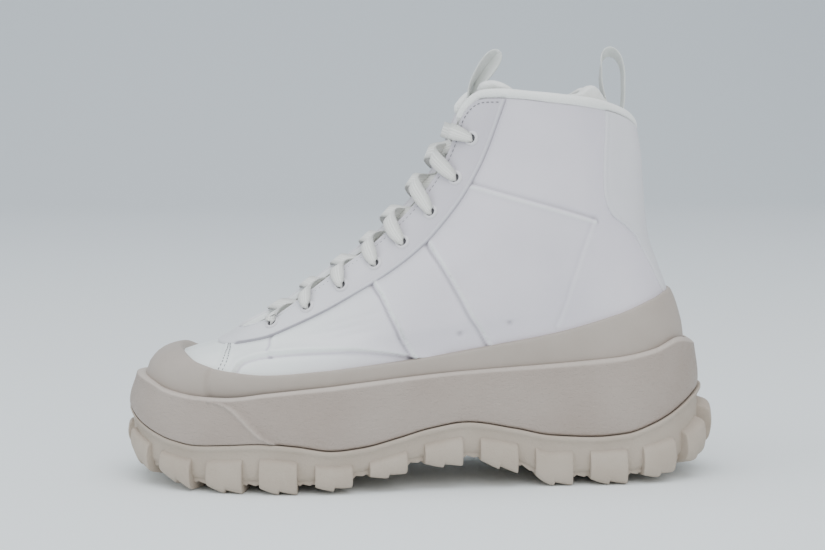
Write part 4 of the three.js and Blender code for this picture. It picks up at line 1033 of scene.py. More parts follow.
def collar_binding():
    """The rolled collar: a soft tube on the wall's edge, from one side of the throat round the heel to the
    other, its ends turned down the throat's corners. Its fill is slightly uneven."""
    climb = np.sin(np.linspace(0, np.pi / 2, 60))
    near, far = mix(BINDING_END, 1.0, climb), mix(BINDING_END + 0.014, 1.0, climb)
    ends = throat_around(1.0)
    level = np.concatenate([near, np.ones(300), far[::-1]])
    collar = mix(ends, -ends, np.linspace(0, 1, 302)[1:-1])
    around = np.concatenate([throat_around(near), collar, -throat_around(far)[::-1]])
    rough = last_point(around, level)
    length = np.concatenate([[0], np.cumsum(np.linalg.norm(np.diff(rough, axis=0), axis=1))])
    at = np.linspace(0, length[-1], 320)
    level, around = np.interp(at, length, level), np.interp(at, length, around)
    wall = skin(around, level, np.full_like(at, -UPPER_WALL / 2))
    tangent = unit(np.gradient(wall, axis=0))
    for _ in range(4):
        tangent[1:-1] = unit(tangent[:-2] + tangent[1:-1] + tangent[2:])
    off = unit(np.cross(last_normal(around, level), tangent))
    out = np.cross(tangent, off)
    uneven = 1 + 0.05 * np.sin(at / 9) + 0.03 * np.sin(at / 3.7)
    to_end = np.minimum(at, length[-1] - at)
    radius = BINDING_DIAMETER / 2 * uneven * np.sqrt(np.clip((to_end + 0.1) / 3.0, 0.0, 1.0))
    centre = wall + off * (BINDING_DIAMETER / 2 + GAP - 0.35)
    piece = Piece("collar_roll")
    roll = tube(centre, out, off, radius * 1.06, radius, 0.92, 20)
    piece.grid(roll, length_uv(centre, 20), wrap_columns=True)
    return piece.build([BINDING], ["collar_binding"])


def pad_crest(k):
    """How far the padding stands over the collar: two humps, the inner one nearer the heel."""
    outer_hump, inner_hump, hump_width = 0.74, 0.66, 0.11
    centre = np.where(np.asarray(k) > 0, outer_hump, inner_hump)
    return (PAD_CREST - 0.8) * np.exp(-(((np.abs(k) - centre) / hump_width) ** 2))


def heel_padding():
    """Padding inside the heel: a curved cushion with two crests over the collar and a seam along each."""
    start = 0.79
    row = np.linspace(0, 1, 46)[:, None]
    level = mix(start, 1.0, row)
    k = np.linspace(-1, 1, 97)[None]
    rise = ease(row)
    clear = BINDING_DIAMETER / 2 - UPPER_WALL / 2 + 2 * GAP
    wall = -UPPER_WALL - GAP - clear * ease((level - start) / 0.11)
    depth = PAD_THICKNESS * (0.25 + 0.75 * rise) * np.sqrt(1 - 0.975 * k**4)
    lift = (pad_crest(k) + BINDING_DIAMETER) * ease((level - 0.9) / 0.1)
    around = k * 0.4375
    front = skin(around, level + 0 * k, wall + 0 * k)
    puff = 0.9 * np.sin(np.pi * np.clip(row, 0, 1)) * (1 - k * k)
    seam = 0.7 * np.exp(-(((row - 0.74) / 0.03) ** 2)) * np.ones_like(k)
    back = skin(around, level + 0 * k, wall - depth - puff + seam)
    front[..., 2] += lift
    back[..., 2] += lift
    # The crown over the top runs from the wall side to the inner side in a half circle
    turn = np.linspace(0, np.pi, 9)[:, None, None]
    centre, reach = (front[-1] + back[-1]) / 2, (front[-1] - back[-1]) / 2
    height = np.linalg.norm(reach, axis=-1)[..., None] * 0.35
    crown = centre[None] + reach[None] * np.cos(turn) + np.array([0, 0, 1.0]) * height[None] * np.sin(turn)
    loop = np.concatenate([front, crown[1:-1], back[::-1]])
    piece = Piece("heel_padding")
    piece.grid(loop, wrap_rows=True)
    ends = [np.stack([loop[:, k], np.repeat(loop[:, k].mean(0)[None], len(loop), 0)]) for k in (0, -1)]
    for end in ends:
        piece.grid(end, wrap_columns=True)
    made = piece.build([LINING], ["heel_pad"])
    return made


def tongue_drop(around, level):
    """How far the tongue lies under the last: under the vamp at its foot, flat under the laces higher up."""
    return UPPER_WALL + GAP + (1.4 + 8 * GAP) * ease((level - 0.42) / 0.05) + throat_hollow(around, level)


def tongue():
    """The tongue: a padded sheet under the laces, thick in its middle, its top edge bound in a soft roll
    that falls away to both sides."""
    row = np.linspace(0, 1, 120)[:, None]
    k = np.sin(np.linspace(-1, 1, 61) * np.pi / 2)[None]
    level = mix(0.42, TONGUE_TOP - 0.02 * np.abs(k) ** 3, row)
    around = np.sign(k) * (1 - np.abs(k) * tongue_reach(level))
    around = np.where(k == 0, 1.0, around)
    thick = TONGUE_THICKNESS * (0.45 + 0.55 * np.sqrt(np.clip(1 - k * k, 0, 1)))
    foot = np.clip(np.sin(np.clip(row / 0.04, 0, 1) * np.pi / 2), 0.2, 1)
    thin = np.maximum(foot * np.sqrt(np.clip((1.0 - row) / 0.02, 0, 1)), 0.02)
    middle = -tongue_drop(around, level) - thick / 2
    quilt = 0.35 * np.exp(-(((np.abs(k) - 0.72) / 0.04) ** 2))
    outer = skin(around, level, middle + thick / 2 * thin - quilt)
    inner = skin(around, level, middle - thick / 2 * thin + 0.3 * quilt)
    ring = np.concatenate([outer, inner[:, ::-1]], 1)
    piece = Piece("tongue_padded")
    piece.grid(ring, wrap_columns=True)
    for k_end in (0, -1):
        centre = (outer[k_end] + inner[k_end]) / 2
        piece.grid(np.stack([ring[k_end], np.concatenate([centre, centre[::-1]])]), wrap_columns=True)
    share = np.abs(k[0])
    edge = skin(around[-1], level[-1], middle[-1])
    edge[:, 2] += 2.6 * np.sin(np.pi * np.clip(share, 0, 1) ** 0.9) - 0.8
    radius = 2.3 * np.sqrt(np.clip(1.02 - share**4, 0, 1))
    sideways = unit(np.gradient(edge, axis=0))
    out = unit(np.cross(sideways, np.array([0, 0, 1.0])))
    up = np.cross(out, sideways)
    piece.grid(tube(edge, out, up, radius, radius, 1.0, 16), wrap_columns=True)
    made = piece.build([LINING], ["tongue"])
    return made


def insole():
    """The insole: the foot's outline filled in towards its middle line, dished a little under the heel."""
    around = np.linspace(-1, 1, 181)[:-1]
    level = level_at(around, lambda x: bed_at(x) + INSOLE)
    outline = skin(around, level, np.full_like(around, -UPPER_WALL - 0.15))
    middle = outline * np.array([0.96, 0, 1]) + np.array([0, MIDDLE - 2.0, 0])
    share = np.linspace(0, 1, 22)[:, None, None]
    top = outline[None] + (middle - outline)[None] * share
    dish = 1.6 * np.sin(np.pi / 2 * share[..., 0]) * np.exp(-(((top[..., 0] + 95) / 45) ** 2))
    top[..., 2] = bed_at(top[..., 0]) + INSOLE - dish
    low = top[:1].copy()
    low[..., 2] -= INSOLE - 0.4
    under = top[-1:].copy()
    under[..., 2] = bed_at(under[..., 0]) + 0.4
    piece = Piece("insole_sheet")
    piece.grid(np.concatenate([under, low, top]), wrap_columns=True)
    return piece.build([LINING], ["insole"])


# The sole


def foxing_band():
    """The foxing: a band from inside the midsole cup up to a soft upper edge, fuller round the toe, where the
    bumper's end laps over the side band as a low step."""
    around = np.linspace(-1, 1, 721)[:-1]
    top = level_at(around, foxing_top_at)
    # Share of the band's height, and how full its wall is there
    share = [0, 0.12, 0.25, 0.38, 0.5, 0.6, 0.68, 0.75, 0.81, 0.86, 0.9, 0.935, 0.96, 0.98, 0.992, 1.0]
    full = [1, 1, 1, 1, 1, 1, 0.995, 0.98, 0.96, 0.93, 0.9, 0.86, 0.82, 0.77, 0.7, 0.6]
    share, full = np.array(share), np.array(full)
    bulge = BUMPER_BULGE * ease((np.abs(around) - 0.72) / 0.16)
    past = last_point(around, 0.12)[:, 0] - 105.4
    lap = 1.0 * ease(past / 1.4) - 0.5 * np.exp(-((past / 1.2) ** 2))
    wall = (FOXING_WALL + bulge + lap)[None] * full[:, None] + GAP
    level = top[None] * share[:, None]
    points = skin(around[None] + 0 * level, level, wall)
    lip_out = np.array([0.42, 0.2, -0.05, -0.4])[:, None] * FOXING_WALL + GAP
    lip_up = np.array([1.006, 1.008, 1.004, 0.99])[:, None]
    lip = skin(around[None] + 0 * lip_up, top[None] * lip_up, lip_out + 0 * around[None])
    points = np.concatenate([points, lip])
    piece = Piece("foxing_band")
    piece.grid(points, wrap_columns=True)
    return piece.build([FOXING], ["foxing"])


def midsole_cup():
    """The midsole: from a rounded foot over the outsole up to a rounded rim, then down inside the cup. Its
    front wrap stands proud of the side behind a soft slanted edge."""
    around = np.linspace(-1, 1, 801)[:-1][None]
    height = np.linspace(0, 1, 44)[:, None]
    rough = sole_point(around, MIDSOLE[:, None, None] + 0 * height[None])
    # Signed distance ahead of the wrap's edge, measured level with it
    reach = reach_at(rough[..., 0])
    swapped = WRAP_EDGE[:, ::-1]
    wrap_reach = curve(swapped)(np.broadcast_to(height, reach.shape))
    ahead = (reach - wrap_reach) * SHOE_LENGTH
    wrap = (TOE_WRAP + 0.3) * ease((ahead + 0.7) / 1.8) * (1 - 0.4 * height)
    wrap += 0.9 * np.exp(-(((ahead - 1.4) / 1.1) ** 2))
    body = mix(MIDSOLE[:, None, None], RIM[:, None, None], ease(height * 0.9)[None])
    belly = 0.5 * np.sin(np.pi * height)
    foot_round = -0.9 * np.clip(1 - height / 0.035, 0, 1) ** 2
    rim_round = -1.3 * np.clip((height - 0.955) / 0.045, 0, 1) ** 1.3
    out = body + (belly + wrap + foot_round + rim_round)[None]
    points = sole_point(around + 0 * height, out)
    z_low = edge_at(points[..., 0]) + GAP
    points[..., 2] = mix(z_low, rim_at(points[..., 0]), height)
    # The rim's top: out, over and down inside
    over = np.array([-1.7, -2.2, -2.9, -3.4, -3.58, -3.6])[:, None]
    rise = np.array([0.35, 0.5, 0.5, 0.42, 0.0, -9.0])[:, None]
    toe_more = np.array([RIM_WALL_HEEL - RIM_WALL, 0, RIM_WALL_TOE - RIM_WALL])[:, None, None]
    rim = sole_point(around + 0 * over, RIM[:, None, None] + over[None] * (1 + toe_more / RIM_WALL))
    rim[..., 2] = rim_at(rim[..., 0]) + rise
    # The foot turned under, to meet the outsole in a thin dark gap
    under = sole_point(around, MIDSOLE[:, None, None] - 4.0)
    under[..., 2] = edge_at(under[..., 0]) + GAP + 0.25
    # The lip and the wrap's edge are painted paler: a painted highlight where they catch the light
    lip_highlight, edge_highlight = 0.5, 0.3
    lip = lip_highlight * ease((height - 0.962) / 0.02) + 0 * around
    edge = edge_highlight * np.exp(-((ahead - 1.2) ** 2))
    rubbed = np.concatenate([0 * around, np.maximum(lip, edge), lip_highlight + 0 * over + 0 * around])
    points = np.concatenate([under, points, rim])
    piece = Piece("midsole_cup")
    piece.grid(points, wrap_columns=True, tone=rubbed)
    return piece.build([FOAM], ["midsole"], tone_name="rubbed")


def outsole_base():
    """The outsole without its lugs: its lip with a rounded edge, the inset wall and the tread's underside."""
    around = np.linspace(-1, 1, 721)[:-1][None]

    def tread(x):
        return np.minimum(foot_at(x) + LUG_DEPTH, edge_at(x) - LEDGE_HEIGHT - LUG_DEPTH)

    # Each ring: its margin, how far it hangs under the upper edge, and how far it has come down to the tread
    table = [(MIDSOLE - 6, 0.1, 0), (MIDSOLE - 0.6, 0.1, 0), (MIDSOLE + 0.2, 0, 0), (LIP - 0.7, 0, 0)]
    table += [(LIP - 0.7 + 0.7 * math.sin(a), 0.7 - 0.7 * math.cos(a), 0) for a in (0.5, 1.0, 1.57)]
    table += [(LIP - 0.05, LEDGE_HEIGHT - 0.5, 0), (LIP - 0.35, LEDGE_HEIGHT, 0)]
    table += [(WALL + 0.35, LEDGE_HEIGHT + 0.9, 0), (WALL, LEDGE_HEIGHT + 1.8, 0)]
    table += [(WALL, LEDGE_HEIGHT + 1.8, t) for t in (0.33, 0.66, 1)]
    rings = []
    for margin, hang, down in table:
        ring = sole_point(around, margin[:, None, None] + np.zeros((1, 1, 1)))
        ring[..., 2] = mix(edge_at(ring[..., 0]) - hang, tread(ring[..., 0]) + 3, down)
        rings.append(ring)
    for inset, over in ((1.0, 1.0), (3.2, 0.0)):
        ring = sole_point(around, (WALL - inset)[:, None, None] + np.zeros((1, 1, 1)))
        ring[..., 2] = tread(ring[..., 0]) + over
        rings.append(ring)
    outline = rings[-1]
    middle = outline * np.array([0.97, 0, 1]) + np.array([0, MIDDLE - 1.5, 0])
    for t in (0.25, 0.5, 0.75, 1.0):
        under = mix(outline, middle, t)
        under[..., 2] = tread(under[..., 0])
        rings.append(under)
    piece = Piece("outsole_tread")
    piece.grid(np.concatenate(rings), wrap_columns=True)
    for lug in side_lugs() + inner_teeth() + centre_lugs():
        piece.grid(lug, wrap_columns=True)
    return piece.build([RUBBER], ["outsole"])


def outline_walk():
    """The way round for a share of the outline's length at the lug faces, from the toe's tip back to it."""
    around = np.linspace(-1, 1, 801)
    points = sole_point(around, LUG[:, None] + 0 * around[None])
    length = np.concatenate([[0], np.cumsum(np.linalg.norm(np.diff(points, axis=0), axis=1))])
    return lambda share: np.interp(share - np.floor(share), length / length[-1], around)


def rounded(corners, radius, count=4):
    """Rounds each corner of closed outlines, corners x 3 for each station, with a short parabola."""
    before, after = np.roll(corners, 1, 1), np.roll(corners, -1, 1)
    back, ahead = before - corners, after - corners
    reach_back = np.minimum(radius, np.linalg.norm(back, axis=-1, keepdims=True) * 0.45)
    reach_ahead = np.minimum(radius, np.linalg.norm(ahead, axis=-1, keepdims=True) * 0.45)
    a, b = corners + unit(back) * reach_back, corners + unit(ahead) * reach_ahead
    t = np.linspace(0, 1, count)[:, None]
    arc = a[:, :, None] * (1 - t) ** 2 + corners[:, :, None] * 2 * t * (1 - t) + b[:, :, None] * t**2
    return arc.reshape(corners.shape[0], -1, 3)


def block(rings, end_radius):
    """A lug from its sections: the first and last draw in round the ends, then close on their middles."""
    middle = rings.mean(1, keepdims=True)
    size = np.linalg.norm(rings - middle, axis=-1, keepdims=True).max()
    inset = 1 - end_radius / size * np.array([1.0, 0.45, 0.12])
    start = [mix(middle[0], rings[0], k)[None] for k in (0, *inset)]
    end = [mix(middle[-1], rings[-1], k)[None] for k in (*inset[::-1], 0)]
    return np.concatenate([*start, rings[1:-1], *end])


def lug_section(around, lift, proud, rise, reach):
    """Six corners of a lug's section: shoulder, brow, face, foot, and the inner foot and root."""
    face = sole_point(around, LUG[:, None] + proud)
    foot = foot_at(face[..., 0])

    def top_at(x):
        return np.minimum(foot + rise, edge_at(x) - 1.5 * LEDGE_HEIGHT - WALL_INSET)

    inner = sole_point(around, LUG[:, None] - reach)
    shoulder = sole_point(around, WALL[:, None] - LUG_PROUD)
    brow = sole_point(around, LUG[:, None] + proud - 1.0)
    sole = sole_point(around, LUG[:, None] + proud - 1.5)
    top = top_at(face[..., 0])
    shoulder[..., 2] = top_at(shoulder[..., 0])
    brow[..., 2] = top_at(brow[..., 0]) - 3.2
    face[..., 2] = mix(foot, top, 0.4)
    sole[..., 2] = foot + lift
    low, high = inner.copy(), inner.copy()
    low[..., 2] = foot_at(inner[..., 0]) + lift
    high[..., 2] = foot_at(inner[..., 0]) + LUG_DEPTH + 3.2
    return np.stack([shoulder, brow, face, sole, low, high], 1)


def sawtooth(at, teeth, depth):
    """Ratchet teeth along a lug: each rises in a slope towards the toe and drops back at once, the first
    less deep than the second."""
    phase = np.clip((at + 0.5) * teeth, 0, teeth - 1e-6)
    return depth * (phase - np.floor(phase)) ** 1.3 * (0.55 + 0.45 * np.floor(phase))


def side_lugs():
    """Lugs round the whole edge, each with ratchet teeth across its foot."""
    walk = outline_walk()
    at = np.concatenate([[-0.5, -0.47, -0.43], np.linspace(-0.38, 0.38, 27), [0.43, 0.47, 0.5]])
    blocks = []
    for k in range(LUGS):
        around = walk((k + at * LUG_SHARE - LUG_PHASE) / LUGS)
        forwards = at if 2 * k > LUGS else -at
        lift = sawtooth(forwards, 2, 3.0)
        proud = 0.4 * math.sin(k * 2.1) - LUG_SINK
        section = lug_section(around, lift, proud, LUG_RISE, LUG_REACH)
        blocks.append(block(rounded(section, 2.6, 5), 3.0))
    return blocks


def inner_teeth():
    """A lower row of small teeth behind the gaps between the lugs."""
    walk = outline_walk()
    at = np.linspace(-0.5, 0.5, 15)
    blocks = []
    for k in range(LUGS):
        around = walk((k + 0.5 + at * 0.5 - LUG_PHASE) / LUGS)
        outer = sole_point(around, WALL[:, None] - 1.6)
        inner = sole_point(around, WALL[:, None] - 9.0)
        floor = foot_at(outer[..., 0]) + 3.6
        lift = sawtooth(at if 2 * k > LUGS else -at, 3, 1.2)
        corners = [outer.copy(), outer.copy(), inner.copy(), inner.copy()]
        for corner, height in zip(corners, (floor + 6.0, floor + lift, floor + lift, floor + 5.0)):
            corner[..., 2] = height
        blocks.append(block(rounded(np.stack(corners, 1), 0.8), 0.8))
    return blocks


def centre_lugs():
    """Cross lugs down the middle of the tread, bent to an arrow."""
    pitch = (SHOE_LENGTH - 2 * LUG_REACH) / (CENTRE_LUGS + 1)
    y = np.linspace(-12, 12, 21)
    blocks = []
    for k in range(CENTRE_LUGS):
        middle = -SHOE_LENGTH / 2 + LUG_REACH + (k + 1) * pitch
        corners = []
        for end, low in ((-0.5, False), (-0.5, True), (0.5, True), (0.5, False)):
            x = middle + end * 14 + np.abs(y) * 0.25
            z = foot_at(x) + (1.0 if low else LUG_DEPTH + 2.0)
            corners.append(np.stack([x, y + MIDDLE, z], -1))
        blocks.append(block(rounded(np.stack(corners, 1), 0.9), 1.0))
    return blocks


# Laces, eyelets, loops and stitches


def eyelet_half(level):
    return eyelet_off(level) * BALL_WIDTH / 2


def level_square_above(level):
    """The level on the front line that lies square above a pair of eyelets, by halving."""
    side_view = np.array([1, 0, 1])
    levels = np.array([level, level + 0.01, level - 0.01])
    outer = skin(around_at_half(levels, eyelet_half(levels), 1), levels, 0 * levels)
    place, ahead, behind = outer * side_view
    along = unit(ahead - behind)
    low, high = level, level + 0.2
    for _ in range(20):
        middle = (low + high) / 2
        if ((last_point(1.0, middle) * side_view - place) * along).sum() < 0:
            low = middle
        else:
            high = middle
    return low


# A crossing's route: share of the way across, margin over the last, width, and share of the slack
CROSSING = np.array(
    [
        (0.0, -2.2, 0.4, 0.0),
        (0.0, 0.9, 0.46, 0.0),
        (0.006, 2.1, 0.6, 0.0),
        (0.035, 3.0, 0.78, 0.0),
        (0.09, 3.6, 0.95, 0.1),
        (0.17, 3.5, 1.0, 0.5),
        (0.26, 3.1, 1.0, 1.0),
        (0.38, 1.9, 1.0, 0.8),
        (0.5, 0.2, 1.0, 0.3),
        (0.61, -1.8, 1.0, 0.08),
        (0.7, -3.1, 1.0, 0.0),
        (0.85, -3.8, 0.95, 0.0),
        (0.95, -3.8, 0.75, 0.0),
        (1.0, -3.2, 0.5, 0.0),
        (1.0, -1.6, 0.4, 0.0),
    ]
)
TOP_BAR = np.array(
    [
        (0.0, -2.2, 0.4, 0.0),
        (0.0, 0.9, 0.46, 0.0),
        (0.008, 2.1, 0.6, 0.0),
        (0.05, 3.0, 0.8, 0.0),
        (0.11, 3.5, 0.97, 0.1),
        (0.2, 3.0, 1.0, 0.15),
        (0.32, 0.4, 1.0, 0.0),
        (0.5, -1.5, 1.0, 0.0),
        (0.68, 0.4, 1.0, 0.0),
        (0.8, 3.0, 1.0, 0.15),
        (0.89, 3.5, 0.97, 0.1),
        (0.95, 3.0, 0.8, 0.0),
        (0.992, 2.1, 0.6, 0.0),
        (1.0, 0.9, 0.46, 0.0),
        (1.0, -2.2, 0.4, 0.0),
    ]
)
FOOT_BAR = np.array(
    [
        (0.0, -1.6, 0.4, 0.0),
        (0.0, -3.2, 0.5, 0.0),
        (0.12, -4.0, 0.8, 0.0),
        (0.5, -4.1, 0.9, 0.0),
        (0.88, -4.0, 0.8, 0.0),
        (1.0, -3.2, 0.5, 0.0),
        (1.0, -1.6, 0.4, 0.0),
    ]
)


def lace_band(piece, side, low_row, high_row, route, twist=0.0):
    """One run of lace: its route is smooth through the table, and its face turns with the last's surface.
    The upper runs are slacker and stand up in a small arch."""
    index = np.linspace(0, 1, len(route))
    t = np.linspace(0, 1, 72)
    share, margin, width, puff = [curve(np.column_stack([index, route[:, k]]))(t) for k in range(4)]
    start, end = LACE_ROWS[low_row, 0], LACE_ROWS[high_row, 0]
    share = np.clip(share, 0, 1)
    mean = (start + end) / 2
    level = mix(start, end, share) + 4 * share * (1 - share) * (level_square_above(mean) - mean)
    offset = side * eyelet_half(mix(start, end, share)) * (1 - 2 * share)
    around = around_at_half(level, np.abs(offset), np.where(offset < 0, -1.0, 1.0))
    slack = LACE_PUFF * ease((start - LACE_ROWS[2, 0]) / (LACE_ROWS[5, 0] - LACE_ROWS[2, 0]))
    tight = 1.0 - slack / LACE_PUFF
    pulled = 0.8 * ease((share - 0.02) / 0.05) + 1.2 * np.exp(-(((share - 0.45) / 0.2) ** 2))
    margin = margin + puff * slack - tight * pulled
    points = skin(around, level, margin - throat_hollow(around, level))
    for _ in range(2):
        points[2:-2] = (points[1:-3] + points[2:-2] + points[3:-1]) / 3
    face = last_normal(around, level)
    tangent = unit(np.gradient(points, axis=0))
    across = unit(np.cross(tangent, face))
    # In the eyelets the path runs along the face's direction, so the band keeps its free stretch's across
    steady = np.abs((tangent * face).sum(1)) > 0.8
    reference = unit(np.array([0.35, 0.0, 0.94]))
    kept = unit(reference - (tangent @ reference)[:, None] * tangent)
    across = np.where(steady[:, None], kept, across)
    across = across * np.sign(across @ reference)[:, None]
    for _ in range(3):
        across[1:-1] = unit(across[:-2] + across[1:-1] + across[2:])
    over = unit(np.cross(across, tangent))
    turned = twist * np.sin(np.pi * t) ** 2
    c, s = np.cos(turned)[:, None], np.sin(turned)[:, None]
    across, over = across * c + over * s, over * c - across * s
    half = width * LACE_WIDTH / 2
    thick = LACE_THICKNESS / 2 * (1 + 0.4 * (1 - width))
    piece.grid(tube(points, across, over, half, thick, 0.45, 18), length_uv(points, 18), wrap_columns=True)


def laces():
    """The lace: crossings between all rows, a bar under the throat's foot and a bar over the top row. One
    run of each pair lies over the other where they cross."""
    piece = Piece("lace_run")
    rows = len(LACE_ROWS)
    for row in range(rows - 1):
        over, under = CROSSING.copy(), CROSSING.copy()
        over[6:11, 1] += np.array([0.2, 0.5, 0.8, 0.5, 0.1])
        under[6:11, 1] -= np.array([0.1, 0.3, 0.7, 0.5, 0.1])
        first, second = (over, under) if row % 2 else (under, over)
        lace_band(piece, 1, row, row + 1, first, twist=0.16 + 0.05 * math.sin(row * 2.3))
        lace_band(piece, -1, row, row + 1, second, twist=-0.16)
    lace_band(piece, 1, 0, 0, FOOT_BAR)
    lace_band(piece, 1, rows - 1, rows - 1, TOP_BAR)
    return piece.build([LACE], ["lace"])


def eyelet_rings():
    """Each eyelet: a low moulded ring pressed into the overlay, with a dark disc of painted shade inside."""
    turn = np.linspace(0, 2 * np.pi, 41)[:-1]
    radius = [2.05, 2.15, 2.4, 2.8, 3.2, 3.5, 3.75, 3.8]
    height = [1.06, 1.5, 1.72, 1.76, 1.66, 1.42, 1.05, 0.6]
    ring = np.column_stack([radius, height])
    bore = np.array([(0.0, 1.1), (2.1, 1.1)])
    for side in (1, -1):
        for row, (level, off) in enumerate(LACE_ROWS):
            around = float(around_at_half(level, off * BALL_WIDTH / 2, side))
            centre, normal = last_point(around, level), last_normal(around, level)
            east = unit(np.cross(normal, np.array([0.0, 0, 1])))
            north = np.cross(normal, east)
            circle = np.cos(turn)[:, None] * east + np.sin(turn)[:, None] * north
            name = "outer" if side > 0 else "inner"
            piece = Piece(f"eyelet_ring_{name}_{row + 1}")
            for slot, profile in enumerate((ring, bore)):
                points = centre + circle[None] * profile[:, 0, None, None]
                points = points + normal * profile[:, 1, None, None]
                piece.grid(points, slot=slot, wrap_columns=True)
            made = piece.build([EYELET, PAINTED_BORE_SHADE], [f"eyelet_{name}_{row + 1}"])
            flip_if_inward(made, normal)


def flip_if_inward(piece, direction):
    """Turns an open piece's faces to look along a direction."""
    mesh = piece.data
    total = sum((p.normal * p.area for p in mesh.polygons), Vector((0, 0, 0)))
    if total.dot(Vector(direction)) < 0:
        mesh.flip_normals()


def ribbon_loop(name, rows, base, size, lean, twist, turn_length, node_name):
    """A pull loop: a thin ribbon bent in the plane of the shoe's length, turned a little about its own line
    where it bends, its edges rounded."""
    table = np.array(rows)
    index = np.linspace(0, 1, len(table))
    t = np.linspace(0, 1, 90)
    back, up = [curve(np.column_stack([index, table[:, k]]))(t) for k in (0, 1)]
    x, z = -back * size[0], up * size[1]
    c, s = math.cos(lean), math.sin(lean)
    points = np.stack([x * c + z * s, np.zeros_like(t), -x * s + z * c], -1) + base
    for _ in range(3):
        points[1:-1] = (points[:-2] + points[1:-1] + points[2:]) / 3
    tangent = unit(np.gradient(points, axis=0))
    across = np.repeat(np.array([[0.0, 1.0, 0.0]]), len(t), 0)
    over = np.cross(across, tangent)
    turned = (twist * np.exp(-(((t - 0.5) / turn_length) ** 2)))[:, None]
    c, s = np.cos(turned), np.sin(turned)
    across, over = across * c + over * s, over * c - across * s
    # The ribbon narrows a little at its bend and stays flat at its foot
    half = LOOP_WIDTH / 2 * (1 - 0.06 * np.sin(np.pi * t) ** 4)
    thick = np.full_like(t, LOOP_THICKNESS * 0.4)
    piece = Piece(name)
    piece.grid(tube(points, across, over, half, thick, 0.4, 18), length_uv(points, 18), wrap_columns=True)
    return piece.build([WEBBING], [node_name])


# The loops' lines as shares of their size: back and up
TONGUE_LOOP_ROWS = [
    (0, 0),
    (-0.16, 0.3),
    (-0.05, 0.65),
    (0.2, 0.93),
    (0.42, 1.0),
    (0.5, 0.86),
    (0.42, 0.6),
    (0.26, 0.3),
    (0.22, 0),
]
HEEL_LOOP_ROWS = [
    (-0.3, 0),
    (-0.62, 0.3),
    (-0.85, 0.62),
    (-0.8, 0.88),
    (-0.5, 1.0),
    (-0.08, 0.93),
    (0.18, 0.7),
    (0.2, 0.4),
    (0.05, 0),
]


def pull_loops():
    """The two pull loops: one on the tongue's top, leaning forwards, and one on the heel's padding."""
    crest = skin(1.0, TONGUE_TOP, -tongue_drop(1.0, TONGUE_TOP) - TONGUE_THICKNESS / 2)
    base = crest + np.array([TONGUE_THICKNESS + 1.6, 0, LOOP_THICKNESS + 8 * GAP - 2.0])
    ribbon_loop("tongue_pull", TONGUE_LOOP_ROWS, base, (8.2, 25.0), -0.44, 0.8, 0.4, "tongue_loop")
    seat = skin(0.0, 1.0, -UPPER_WALL - GAP - PAD_THICKNESS * 0.7)
    base = seat + np.array([0, 0, BINDING_DIAMETER + float(pad_crest(0.1)) + 12 * GAP - 3.0])
    ribbon_loop("heel_pull", HEEL_LOOP_ROWS, base, (11, 36.3), 0.0, 0.6, 0.14, "heel_loop")


def stitches(name, places, material, pitch=2.5, length=1.7, width=0.5, height=0.34):
    """Stitches along lines of points and normals: one small half-sunk grain, an ellipsoid, for each pitch."""
    piece = Piece(name)
    u = np.linspace(0, 2 * np.pi, 9)[:-1]
    v = np.linspace(0, np.pi, 6)[:, None]
    grain = np.stack([np.cos(v) + 0 * u, np.sin(v) * np.cos(u), np.sin(v) * np.sin(u)], -1)
    for points, normals in places:
        step = np.linalg.norm(np.diff(points, axis=0), axis=1)
        along = np.concatenate([[0], np.cumsum(step)])
        at = np.arange(pitch / 2, along[-1] - pitch / 2, pitch)
        centre = np.stack([np.interp(at, along, points[:, k]) for k in range(3)], -1)
        up = unit(np.stack([np.interp(at, along, normals[:, k]) for k in range(3)], -1))
        ahead = np.stack([np.interp(at + 0.4, along, points[:, k]) for k in range(3)], -1) - centre
        tangent = unit(ahead - (ahead * up).sum(1)[:, None] * up)
        axes = np.stack([tangent * length / 2, np.cross(up, tangent) * width / 2, up * height / 2], 1)
        piece.grid(np.einsum("ijk,nkl->nijl", grain, axes) + centre[:, None, None], wrap_columns=True)
    return piece.build([material])


def stitch_lines():
    """Grey stitches inside the throat's rim, which turn the collar's corner and run on under its roll, and
    two rows of them down the vamp seam."""
    places = []
    for side in (1, -1):
        climb = np.sin(np.linspace(0, np.pi / 2, 200))
        corner_level = mix(0.468, 1.0, climb)
        corner = throat_around(corner_level)
        back = mix(corner[-1], share_to_around(eyestay_seam(1.0)) + 0.008, np.linspace(0, 1, 40)[1:])
        level, around = np.concatenate([corner_level, np.ones(39)]), np.concatenate([corner, back])
        edge, normal = last_point(side * around, level), last_normal(side * around, level)
        length = np.concatenate([[0], np.cumsum(np.linalg.norm(np.diff(edge, axis=0), axis=1))])
        at = np.linspace(0, length[-1], 260)
        edge = np.stack([np.interp(at, length, edge[:, k]) for k in range(3)], -1)
        normal = unit(np.stack([np.interp(at, length, normal[:, k]) for k in range(3)], -1))
        level = np.interp(at, length, level)
        tangent = unit(np.gradient(edge, axis=0))
        inwards = unit(np.cross(tangent, normal)) * side
        away = mix(3.1, 2.0, ease((level - 0.93) / 0.05))
        margin = mix(0.75, 1.15, ease((level - 0.93) / 0.03))
        line = edge + inwards * away[:, None] + normal * margin[:, None]
        for _ in range(8):
            line[1:-1] = (line[:-2] + line[1:-1] + line[2:]) / 3
        places.append((line, normal))
    stitches("eyestay_stitches", places, THREAD)
    seams = []
    for side in (1, -1):
        for shift in (-0.0042, 0.0042):
            level, around = path_on_last([(a, side * (b + shift)) for a, b in VAMP_SEAM])
            seams.append((skin(around, level, np.full_like(level, 0.42)), last_normal(around, level)))
    stitches("vamp_stitches", seams, THREAD, pitch=2.2, length=1.4)


